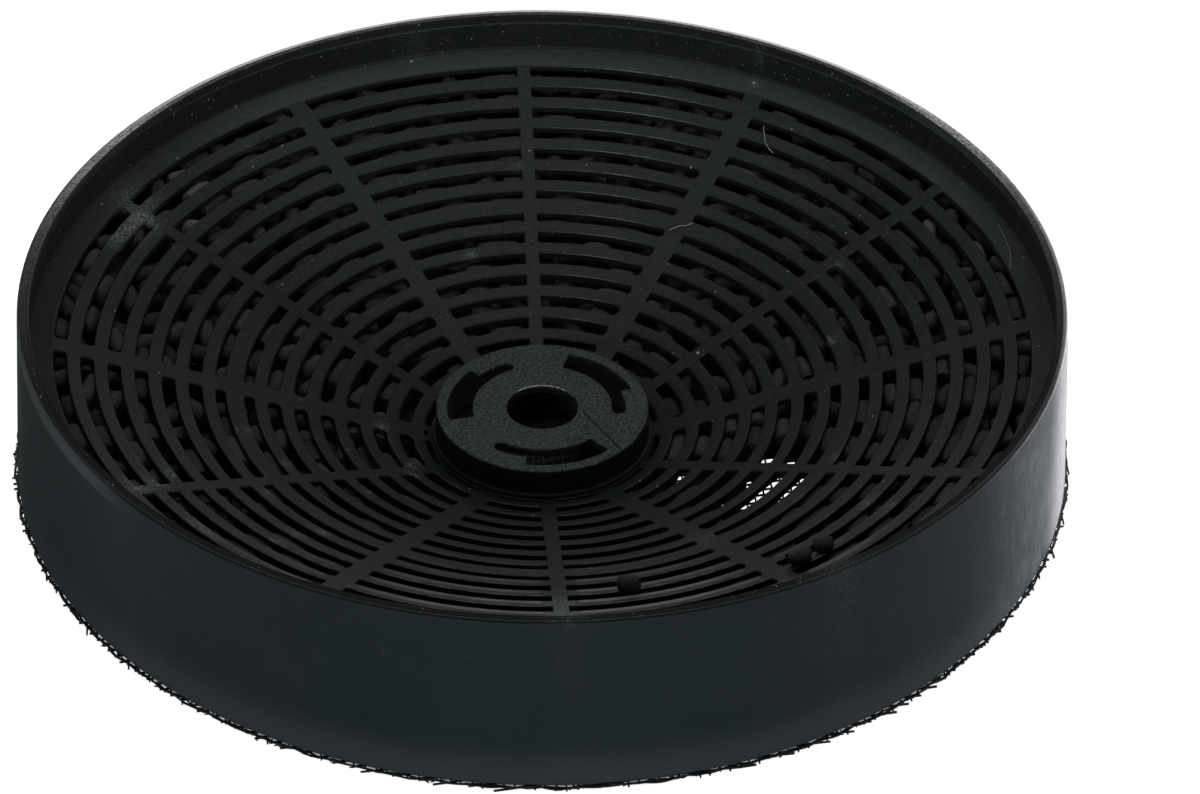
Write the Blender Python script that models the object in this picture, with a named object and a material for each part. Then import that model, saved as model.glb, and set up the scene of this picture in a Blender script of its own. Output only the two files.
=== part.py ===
"""Cooker hood carbon filter: a dished, slotted housing moulded in one piece with a bayonet hub,
a diamond net welded under it, and the loose activated carbon that the two hold between them.

Metres, +Z up. The origin is on the hub's axis at the level that the filter stands on, net down.
"""

import math
import random

import bmesh
import bpy
from mathutils import Matrix, Vector

# Outer wall and rim: the foot stands out beyond the rim by the wall's draft
rim_diameter = 0.2100
wall_draft = 0.0018
housing_height = 0.0380
wall_thickness = 0.0024
rim_round = 0.0008
rim_round_steps = 3
wall_steps = 72

# Dished grille: its outer edge lies this far under the rim, and it falls towards the hub
grille_recess = 0.0088
dish_angle = math.radians(18.25)
grille_thickness = 0.0015

# Spokes are wide and narrow by turns, with a wide one at +X
spoke_count = 12
wide_spoke = 0.0044
narrow_spoke = 0.0031

# Slot rows, counted from the wall inwards, with one wide band among them
margin_width = 0.0047
slot_width = 0.0026
land_width = 0.0027
band_width = 0.0038
outer_rows = 7
inner_rows = 8
outer_slot_steps = 4
inner_slot_steps = 3

# Hub: a cup that is open below, with a low collar where the grille meets it
hub_diameter = 0.0434
hub_depth = 0.0290
hub_wall = 0.0018
hub_disc = 0.0018
hub_edge_round = 0.0004
collar_width = 0.0008
collar_height = 0.0007
bore_diameter = 0.0146
hub_steps = 36

# Bayonet keyholes through the hub's disc: a wide mouth, then a narrow track
keyhole_count = 3
keyhole_inner_radius = 0.0142
mouth_outer_radius = 0.0194
track_outer_radius = 0.0170
mouth_start = math.radians(137.0)
mouth_angle = math.radians(54.0)
track_angle = math.radians(27.0)
mouth_steps = 5
track_steps = 3
track_end_steps = 4
keyhole_inner_steps = 7

# Net under the base
net_thickness = 0.0005
net_overhang = 0.0010
net_fray = 0.0006
net_fray_turn = 1.7
net_cell = 0.0300
net_bar = 0.0022
net_hem = 0.0050
net_steps = 72
net_least_share = 1 / 3

# Activated carbon
pellet_diameter = 0.0040
pellet_length = 0.0062
pellet_least_share = 0.7
pellet_taper = 0.94
pellet_end_slant = 0.25
pellet_sides = 8
pellet_count = 42
pellet_tries = 4000
bed_top_roughness = 0.0009
bed_steps = 32
bed_rings = 7
bed_least_depth = 0.0010

# Pellets that stand out under the slots, and those lying on the grille: how far in from the
# wall, and at which angle
plain_pellets = [
    (0.0124, 132.4),
    (0.0070, 45.1),
    (0.0057, 40.4),
    (0.0077, 28.9),
    (0.0086, 22.7),
    (0.0604, 103.6),
    (0.0060, 150.8),
    (0.0281, 57.4),
]
loose_pellets = [(0.0279, -79.5), (0.0193, -56.3), (0.0190, -51.2)]

# Where carbon has been lost, so that the net shows through the grille
gap_radius = 0.0520
gap_angle = math.radians(-29.0)
gap_length = 0.0400
gap_width = 0.0190
gap_steps = 20

# Clearance between pieces that touch
seat = 0.0003

# Places and heights that follow from the sizes above
base_z = net_thickness + seat
rim_z = base_z + housing_height
rim_radius = rim_diameter / 2
base_radius = rim_radius + wall_draft
hub_radius = hub_diameter / 2
hub_top_z = rim_z - hub_depth
collar_radius = hub_radius + collar_width
fall = math.tan(dish_angle)
slot_pitch = slot_width + land_width

# The grille's sheet runs this far into the walls that carry it
sheet_bite = 0.0007


def wall_outer(z):
    """Outer radius of the drafted wall at a height."""
    return base_radius + (rim_radius - base_radius) * (z - base_z) / housing_height


def wall_inner(z):
    return wall_outer(z) - wall_thickness


grille_radius = wall_inner(rim_z - grille_recess)


def grille_top(radius):
    """Height of the grille's upper face at a radius."""
    return rim_z - grille_recess - fall * (grille_radius - radius)


def grille_under(radius):
    return grille_top(radius) - grille_thickness


def slot_rows():
    """Outer and inner radius of each row of slots, from the wall to the hub."""
    band_extra = (band_width - land_width) / 2
    rows = []
    for row in range(outer_rows + inner_rows):
        outer = grille_radius - margin_width - row * slot_pitch
        inner = outer - slot_width
        if row == outer_rows - 1:
            inner += band_extra
        if row == outer_rows:
            outer -= band_extra
        inner = max(inner, hub_radius + collar_width / 2)
        if outer > collar_radius + slot_width / 4:
            rows.append((outer, inner))
    return rows


# Scene and materials

def clear_scene():
    for obj in list(bpy.data.objects):
        bpy.data.objects.remove(obj, do_unlink=True)


def make_material(name, colour, roughness):
    material = bpy.data.materials.new(name)
    material.use_nodes = True
    shader = material.node_tree.nodes["Principled BSDF"]
    shader.inputs["Base Color"].default_value = (*colour, 1.0)
    shader.inputs["Roughness"].default_value = roughness
    shader.inputs["Metallic"].default_value = 0.0
    return material


def add_object(name, bm, material, sharp_angle=35.0):
    """Turn a bmesh into an object with smooth round faces and sharp edges."""
    bmesh.ops.recalc_face_normals(bm, faces=bm.faces)
    mesh = bpy.data.meshes.new(name)
    bm.to_mesh(mesh)
    bm.free()
    mesh.shade_smooth()
    mesh.set_sharp_from_angle(angle=math.radians(sharp_angle))
    mesh.materials.append(material)
    obj = bpy.data.objects.new(name, mesh)
    bpy.context.scene.collection.objects.link(obj)
    return obj


def add_cutter(name, bm, material):
    """A tool body for a Boolean: it is drawn as wires and is no part of the filter."""
    cutter = add_object(name, bm, material)
    cutter.hide_render = True
    cutter.display_type = "WIRE"
    return cutter


def add_boolean(obj, other, operation):
    modifier = obj.modifiers.new(f"{operation.lower()} {other.name}", "BOOLEAN")
    modifier.operation = operation
    modifier.solver = "EXACT"
    modifier.object = other
    return modifier


# Shape helpers

def polar(radius, angle, z):
    return Vector((radius * math.cos(angle), radius * math.sin(angle), z))


def arc_angles(start, sweep, steps):
    return [start + sweep * step / steps for step in range(steps + 1)]


def turn(bm, profile, steps):
    """Spin a closed profile of (radius, z) points about Z, with a facet facing +X."""
    first = math.pi / steps
    points = [bm.verts.new(polar(radius, first, z)) for radius, z in profile]
    edges = [bm.edges.new((points[i - 1], points[i])) for i in range(len(points))]
    bmesh.ops.spin(
        bm,
        geom=points + edges,
        axis=(0.0, 0.0, 1.0),
        cent=(0.0, 0.0, 0.0),
        angle=2 * math.pi,
        steps=steps,
        use_merge=True,
    )
    bmesh.ops.remove_doubles(bm, verts=bm.verts, dist=1e-6)


def extrude_outline(bm, outline, low, high):
    """Close an outline of (x, y) points into a solid between two heights."""
    verts = [bm.verts.new((x, y, low)) for x, y in outline]
    face = bm.faces.new(verts)
    side = bmesh.ops.extrude_face_region(bm, geom=[face])
    for vert in [item for item in side["geom"] if isinstance(item, bmesh.types.BMVert)]:
        vert.co.z = high


# Housing

def wall_profile():
    """Section of the wall and its rounded rim, clockwise from the foot of the outer face."""
    z = rim_z - rim_round
    corner = [
        (wall_outer(z) - rim_round * (1 - math.cos(angle)), z + rim_round * math.sin(angle))
        for angle in arc_angles(0.0, math.pi / 2, rim_round_steps)
    ]
    inner_round = rim_round / 2
    return [
        (wall_outer(base_z), base_z),
        *corner,
        (wall_inner(rim_z) + inner_round, rim_z),
        (wall_inner(rim_z), rim_z - inner_round),
        (wall_inner(base_z), base_z),
    ]


def hub_profile():
    """Section of the hub cup with its collar, bore and hollow underside."""
    chamber_radius = hub_radius - hub_wall
    collar_z = grille_top(collar_radius) + collar_height
    return [
        (hub_radius, base_z),
        (collar_radius, grille_under(collar_radius) + grille_thickness / 2),
        (collar_radius, collar_z),
        (hub_radius, collar_z),
        (hub_radius, hub_top_z - hub_edge_round),
        (hub_radius - hub_edge_round, hub_top_z),
        (bore_diameter / 2, hub_top_z),
        (bore_diameter / 2, hub_top_z - hub_disc),
        (chamber_radius, hub_top_z - hub_disc),
        (chamber_radius, base_z),
    ]


def keyhole_outline(turned):
    """One bayonet slot: the mouth ends square, the track ends round."""
    mouth_end = mouth_start + turned
    mouth_far = mouth_end + mouth_angle
    track_far = mouth_end - track_angle
    half_track = (track_outer_radius - keyhole_inner_radius) / 2
    middle = keyhole_inner_radius + half_track
    track_end = track_far + half_track / middle
    mouth = arc_angles(mouth_far, -mouth_angle, mouth_steps)
    track = arc_angles(mouth_end, track_end - mouth_end, track_steps)
    inner = arc_angles(track_end, mouth_far - track_end, keyhole_inner_steps)
    points = [polar(mouth_outer_radius, angle, 0.0).xy for angle in mouth]
    points += [polar(track_outer_radius, angle, 0.0).xy for angle in track]
    centre = polar(middle, track_end, 0.0).xy
    for angle in arc_angles(track_end, -math.pi, track_end_steps)[1:-1]:
        points.append(centre + half_track * Vector((math.cos(angle), math.sin(angle))))
    points += [polar(keyhole_inner_radius, angle, 0.0).xy for angle in inner]
    return points


def half_spoke_angle(spoke, radius):
    width = narrow_spoke if spoke % 2 else wide_spoke
    return math.asin(width / 2 / radius)


def ring_angles(radius, slot_steps):
    """Angles round one ring: a spoke is one step wide and a slot is several."""
    sector = 2 * math.pi / spoke_count
    angles = []
    for spoke in range(spoke_count):
        after = (spoke + 1) % spoke_count
        start = spoke * sector + half_spoke_angle(spoke, radius)
        end = (spoke + 1) * sector - half_spoke_angle(after, radius)
        angles += arc_angles(start, end - start, slot_steps)
    return angles


def sheet_zone(bm, rows, first_radius, last_radius, slot_steps):
    """Lay the faces of some slot rows on the cone, and return the zone's outer and inner ring."""
    radii = [first_radius] if first_radius else []
    for outer, inner in rows:
        radii += [outer, inner]
    if last_radius:
        radii.append(last_radius)
    slotted = {outer for outer, inner in rows}
    rings = []
    for radius in radii:
        angles = ring_angles(radius, slot_steps)
        rings.append([bm.verts.new(polar(radius, a, grille_top(radius))) for a in angles])
    for radius, far, near in zip(radii, rings, rings[1:]):
        for column in range(len(far)):
            on_spoke = column % (slot_steps + 1) == slot_steps
            if radius in slotted and not on_spoke:
                continue
            after = (column + 1) % len(far)
            bm.faces.new((far[column], far[after], near[after], near[column]))
    return rings[0], rings[-1]


def ring_edges(bm, ring):
    return [bm.edges.get((ring[i - 1], ring[i])) or bm.edges.new((ring[i - 1], ring[i]))
            for i in range(len(ring))]


def grille_sheet(bm):
    """The slotted cone: two zones of slot rows joined by the wide band, then thickened."""
    rows = slot_rows()
    wall_end = grille_radius + sheet_bite
    hub_end = hub_radius - sheet_bite
    outer_zone = sheet_zone(bm, rows[:outer_rows], wall_end, None, outer_slot_steps)
    inner_zone = sheet_zone(bm, rows[outer_rows:], None, hub_end, inner_slot_steps)
    edges = ring_edges(bm, outer_zone[1]) + ring_edges(bm, inner_zone[0])
    bmesh.ops.bridge_loops(bm, edges=edges)
    lower = bmesh.ops.extrude_face_region(bm, geom=list(bm.faces))
    moved = [item for item in lower["geom"] if isinstance(item, bmesh.types.BMVert)]
    bmesh.ops.translate(bm, verts=moved, vec=(0.0, 0.0, -grille_thickness))
    bmesh.ops.triangulate(bm, faces=bm.faces)


def make_housing(material):
    bm = bmesh.new()
    turn(bm, wall_profile(), wall_steps)
    housing = add_object("housing", bm, material)

    bm = bmesh.new()
    grille_sheet(bm)
    add_boolean(housing, add_cutter("grille_tool", bm, material), "UNION")

    bm = bmesh.new()
    turn(bm, hub_profile(), hub_steps)
    hub = add_cutter("hub_tool", bm, material)
    bm = bmesh.new()
    for keyhole in range(keyhole_count):
        outline = keyhole_outline(keyhole * 2 * math.pi / keyhole_count)
        extrude_outline(bm, outline, hub_top_z - 2 * hub_disc, hub_top_z + hub_disc)
    add_boolean(hub, add_cutter("keyhole_tool", bm, material), "DIFFERENCE")
    add_boolean(housing, hub, "UNION")
    return housing


# Net

def net_edge(step):
    """Radius of the cut edge, frayed a little and alike in each quarter turn."""
    place = step % (net_steps // 4)
    fray = 1 - math.sin(net_fray_turn * place ** 2) if place else 0.0
    return base_radius + net_overhang - net_fray * fray / 2


def make_net(material):
    """A flat diamond net with a closed hem where it is welded to the wall."""
    bm = bmesh.new()
    outline = [polar(net_edge(i), 2 * math.pi * i / net_steps, 0.0).xy for i in range(net_steps)]
    extrude_outline(bm, outline, 0.0, net_thickness)
    net = add_object("net", bm, material)

    bm = bmesh.new()
    half = (net_cell - net_bar * math.sqrt(2)) / 2
    reach = base_radius - net_hem
    count = int(2 * reach / net_cell) + 1
    for i in range(-count, count + 1):
        for j in range(-count, count + 1):
            centre = Vector((i * net_cell / 2, j * net_cell / 2))
            if (i + j) % 2 == 0 and centre.length < reach - half * net_least_share:
                corners = [(half, 0.0), (0.0, half), (-half, 0.0), (0.0, -half)]
                diamond = [(centre.x + x, centre.y + y) for x, y in corners]
                extrude_outline(bm, diamond, -net_thickness, 2 * net_thickness)
    diamonds = add_cutter("diamond_tool", bm, material)
    bm = bmesh.new()
    angles = arc_angles(math.pi / net_steps, 2 * math.pi, net_steps)[:-1]
    circle = [polar(reach, angle, 0.0).xy for angle in angles]
    extrude_outline(bm, circle, -2 * net_thickness, 3 * net_thickness)
    add_boolean(diamonds, add_cutter("hem_tool", bm, material), "INTERSECT")
    add_boolean(net, diamonds, "DIFFERENCE")
    return net


# Activated carbon

pellet_layer = (pellet_diameter + 2 * seat) / math.cos(dish_angle)


def bed_ceiling(radius):
    """Top of the settled bed: one layer of pellets lies between it and the grille."""
    return grille_under(radius) - pellet_layer


def bed_inner_radius():
    """The bed thins towards the hub, and ends at the hub or where there is no room for it."""
    floor = net_thickness + seat + bed_least_depth + bed_top_roughness
    thinned = hub_radius + (floor - bed_ceiling(hub_radius)) / fall
    return max(thinned, collar_radius + seat)


def bed_outer_radius(z):
    return wall_inner(z) - seat


def gap_centre():
    return polar(gap_radius, gap_angle, 0.0)


def make_bed(material):
    """The carbon below the top layer, as one body with an uneven top and one bare place."""
    rng = random.Random(5)
    floor = net_thickness + seat
    inner = bed_inner_radius()
    outer = bed_outer_radius(rim_z - grille_recess)
    bm = bmesh.new()
    rings = []
    for ring in range(bed_rings + 1):
        radius = inner + (outer - inner) * ring / bed_rings
        verts = []
        for step in range(bed_steps):
            angle = 2 * math.pi * (step + 0.5 * (ring % 2)) / bed_steps
            drop = bed_top_roughness * rng.random()
            verts.append(bm.verts.new(polar(radius, angle, bed_ceiling(radius) - drop)))
        rings.append(verts)
    for near, far in zip(rings, rings[1:]):
        edges = ring_edges(bm, near) + ring_edges(bm, far)
        bmesh.ops.bridge_loops(bm, edges=edges)
    bmesh.ops.triangulate(bm, faces=bm.faces)
    lower = bmesh.ops.extrude_face_region(bm, geom=list(bm.faces))
    moved = [item for item in lower["geom"] if isinstance(item, bmesh.types.BMVert)]
    for vert in moved:
        vert.co.z = floor
    bed = add_object("carbon_bed", bm, material, sharp_angle=20.0)

    bm = bmesh.new()
    centre = gap_centre()
    outline = []
    for angle in arc_angles(0.0, 2 * math.pi, gap_steps)[:-1]:
        along = gap_length / 2 * math.sin(angle)
        outline.append((centre.x + gap_width / 2 * math.cos(angle), centre.y + along))
    extrude_outline(bm, outline, -net_thickness, rim_z)
    add_boolean(bed, add_cutter("bare_place_tool", bm, material), "DIFFERENCE")
    return bed


def pellet_mesh(bm, rng):
    """A short extruded rod of carbon, broken off a little askew at both ends."""
    length = pellet_length * rng.uniform(pellet_least_share, 1.0)
    radius = pellet_diameter / 2
    bmesh.ops.create_cone(
        bm,
        cap_ends=True,
        segments=pellet_sides,
        radius1=radius,
        radius2=radius * pellet_taper,
        depth=length,
    )
    for vert in bm.verts:
        side = math.copysign(1.0, vert.co.z)
        vert.co.z -= side * pellet_end_slant * (side * vert.co.x + radius)


def place_pellet(bm, radius, angle, heading, above):
    """Lay a pellet along the cone, under the grille or on top of it."""
    downhill = Vector((-math.cos(dish_angle), 0.0, -math.sin(dish_angle)))
    along = math.cos(heading) * downhill + math.sin(heading) * Vector((0.0, 1.0, 0.0))
    up = Vector((-math.sin(dish_angle), 0.0, math.cos(dish_angle)))
    across = up.cross(along)
    frame = Matrix((across, up, along)).transposed().to_4x4()
    stand_off = (seat + pellet_diameter / 2) / math.cos(dish_angle)
    z = grille_top(radius) + stand_off if above else grille_under(radius) - stand_off
    place = Matrix.Rotation(angle, 4, "Z") @ Matrix.Translation((radius, 0.0, z)) @ frame
    bmesh.ops.transform(bm, matrix=place, verts=bm.verts)


def in_gap(point):
    offset = point - gap_centre()
    reach = pellet_length / 2
    x = offset.x / (gap_width / 2 + reach)
    y = offset.y / (gap_length / 2 + reach)
    return x * x + y * y < 1.0


pellet_reach = pellet_length / 2 + 2 * seat


def on_grille(place):
    """A place measured inwards from the wall, kept clear of the wall and the hub."""
    inset, degrees = place
    radius = grille_radius - max(inset, pellet_reach)
    return max(radius, collar_radius + pellet_reach), math.radians(degrees)


def pellet_places():
    """Pellets under the slots, apart from each other, the hub, the wall and the bare place."""
    rng = random.Random(11)
    rows = [(outer + inner) / 2 for outer, inner in slot_rows()]
    least = max(bed_inner_radius(), collar_radius + pellet_reach)
    rows = [row for row in rows if least < row < grille_radius - pellet_reach]
    places = [on_grille(place) for place in plain_pellets]
    tries = 0
    while len(places) < pellet_count and tries < pellet_tries:
        tries += 1
        radius = rng.choice(rows)
        angle = rng.uniform(0.0, 2 * math.pi)
        point = polar(radius, angle, 0.0)
        spacing = 2 * pellet_reach
        crowded = any((point - polar(r, a, 0.0)).length < spacing for r, a in places)
        if not crowded and not in_gap(point):
            places.append((radius, angle))
    return places


def make_pellets(material):
    rng = random.Random(23)
    held = [(f"carbon_pellet_{n:02d}", place, False) for n, place in enumerate(pellet_places(), 1)]
    loose = [(f"loose_pellet_{n}", on_grille(p), True) for n, p in enumerate(loose_pellets, 1)]
    for name, (radius, angle), above in held + loose:
        bm = bmesh.new()
        pellet_mesh(bm, rng)
        place_pellet(bm, radius, angle, rng.uniform(0.0, math.pi), above)
        add_object(name, bm, material, sharp_angle=50.0)


def main():
    clear_scene()
    housing_plastic = make_material("black moulded plastic", (0.012, 0.017, 0.019), 0.48)
    net_plastic = make_material("black net plastic", (0.008, 0.010, 0.011), 0.42)
    carbon = make_material("activated carbon", (0.016, 0.018, 0.019), 0.85)
    make_housing(housing_plastic)
    make_net(net_plastic)
    make_bed(carbon)
    make_pellets(carbon)


main()
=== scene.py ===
# Cooker hood carbon filter: the looks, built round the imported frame.
# Sizes are in millimetres and angles in degrees in the tables, unless a note says otherwise.

import math
import random

import bmesh
import bpy
import numpy as np
from mathutils import Matrix, Vector
from mathutils.geometry import tessellate_polygon


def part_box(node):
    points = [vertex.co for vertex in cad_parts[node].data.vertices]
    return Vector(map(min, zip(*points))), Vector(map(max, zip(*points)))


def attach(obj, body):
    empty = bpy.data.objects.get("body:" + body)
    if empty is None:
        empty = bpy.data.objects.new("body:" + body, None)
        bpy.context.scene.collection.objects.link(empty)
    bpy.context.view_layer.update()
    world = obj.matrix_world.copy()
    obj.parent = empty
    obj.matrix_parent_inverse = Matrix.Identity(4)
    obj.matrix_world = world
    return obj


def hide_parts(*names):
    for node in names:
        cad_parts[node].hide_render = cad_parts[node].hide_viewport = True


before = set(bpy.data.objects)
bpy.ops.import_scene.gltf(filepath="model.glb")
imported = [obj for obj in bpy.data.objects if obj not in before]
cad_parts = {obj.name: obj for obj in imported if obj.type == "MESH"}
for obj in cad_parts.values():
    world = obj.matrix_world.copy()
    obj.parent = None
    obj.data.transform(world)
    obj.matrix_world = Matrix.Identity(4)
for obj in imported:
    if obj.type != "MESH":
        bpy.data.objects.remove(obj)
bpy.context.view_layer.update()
mm = 0.001
print("frame loaded:", len(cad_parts), "nodes")


# Shader nodes

class Signal:
    # one shader socket, so that node maths reads as sums
    def __init__(self, nodes, socket):
        self.nodes = nodes
        self.socket = socket

    def sum(self, operation, first, second):
        return self.nodes.node("ShaderNodeMath", {"operation": operation}, {0: first, 1: second})

    def __add__(self, other):
        return self.sum("ADD", self, other)

    def __mul__(self, other):
        return self.sum("MULTIPLY", self, other)

    def __sub__(self, other):
        return self.sum("SUBTRACT", self, other)

    def __rsub__(self, other):
        return self.sum("SUBTRACT", other, self)

    def __truediv__(self, other):
        return self.sum("DIVIDE", self, other)

    def __pow__(self, other):
        return self.sum("POWER", self, other)

    __radd__ = __add__
    __rmul__ = __mul__

    def above(self, limit):
        return self.sum("GREATER_THAN", self, limit)

    def below(self, limit):
        return self.sum("LESS_THAN", self, limit)

    def between(self, low, high):
        return self.above(low) * self.below(high)

    def step(self, start, end):
        # 0 at start and 1 at end, smooth between
        settings = {"interpolation_type": "SMOOTHSTEP"}
        inputs = {"Value": self, "From Min": start, "From Max": end}
        return self.nodes.node("ShaderNodeMapRange", settings, inputs)


class Nodes:
    # the node tree of a material or of the world
    def __init__(self, tree):
        self.tree = tree

    def node(self, kind, settings={}, inputs={}, output=0):
        made = self.tree.nodes.new(kind)
        for name, value in settings.items():
            setattr(made, name, value)
        for name, value in inputs.items():
            self.feed(made.inputs[name], value)
        return Signal(self, made.outputs[output])

    def feed(self, socket, value):
        if isinstance(value, Signal):
            self.tree.links.new(value.socket, socket)
        elif isinstance(value, (tuple, list)) and len(value) == 3 and socket.type == "RGBA":
            socket.default_value = (*value, 1.0)
        else:
            socket.default_value = value

    def forCamera(self):
        return self.node("ShaderNodeLightPath", {}, {}, "Is Camera Ray")


class Finish(Nodes):
    # one material and its shader
    def __init__(self, name):
        self.material = bpy.data.materials.new(name)
        self.material.use_nodes = True
        super().__init__(self.material.node_tree)
        self.shader = self.tree.nodes["Principled BSDF"]
        self.place = self.node("ShaderNodeTexCoord", output="Object")

    def set(self, **inputs):
        for name, value in inputs.items():
            self.feed(self.shader.inputs[name.replace("_", " ")], value)

    def stretch(self, x, y, z):
        # the object's own place with each axis scaled
        inputs = {0: self.place, 1: (x, y, z)}
        return self.node("ShaderNodeVectorMath", {"operation": "MULTIPLY"}, inputs)

    def noise(self, size, detail, roughness, place=None):
        # cloudy value from 0 to 1, its lumps about as large as size
        inputs = {
            "Vector": place or self.place,
            "Scale": 1 / (size * mm),
            "Detail": detail,
            "Roughness": roughness,
        }
        return self.node("ShaderNodeTexNoise", {}, inputs)

    def specks(self, size, share, spread):
        # small round dots in some of the cells of a given size
        inputs = {"Vector": self.place, "Scale": 1 / (size * mm)}
        distance = self.node("ShaderNodeTexVoronoi", {}, inputs)
        colour = self.node("ShaderNodeTexVoronoi", {}, inputs, "Color")
        chance = self.node("ShaderNodeSeparateColor", {}, {0: colour})
        return distance.below(spread) * chance.below(share)

    def blend(self, factor, first, second):
        inputs = {0: factor, 6: first, 7: second}
        return self.node("ShaderNodeMix", {"data_type": "RGBA"}, inputs, 2)

    def coats(self, colour, coats):
        # each coat is its share and its own colour, laid over those before it
        for share, paint in coats:
            colour = self.blend(share, colour, paint)
        return colour

    def axes(self):
        # the place along each axis in millimetres
        inputs = {0: self.place}
        return [self.node("ShaderNodeSeparateXYZ", {}, inputs, axis) / mm for axis in range(3)]

    def painted(self, name):
        # value kept on the mesh's own points
        return self.node("ShaderNodeAttribute", {"attribute_name": name}, {}, "Fac")

    def bump(self, height, depth, strength):
        # depth is the height in millimetres of a step from 0 to 1
        inputs = {"Height": height, "Distance": depth * mm, "Strength": strength}
        return self.node("ShaderNodeBump", {}, inputs)

    def closure(self):
        return Signal(self, self.shader.outputs[0])

    def clearFromBelow(self, shader, share=0.0):
        # seen from above only, where a share of the light passes too
        back = self.node("ShaderNodeNewGeometry", {}, {}, "Backfacing")
        clear = self.node("ShaderNodeBsdfTransparent")
        inputs = {0: back.sum("MAXIMUM", back, share), 1: shader, 2: clear}
        mixed = self.node("ShaderNodeMixShader", {}, inputs)
        self.feed(self.tree.nodes["Material Output"].inputs["Surface"], mixed)


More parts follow.
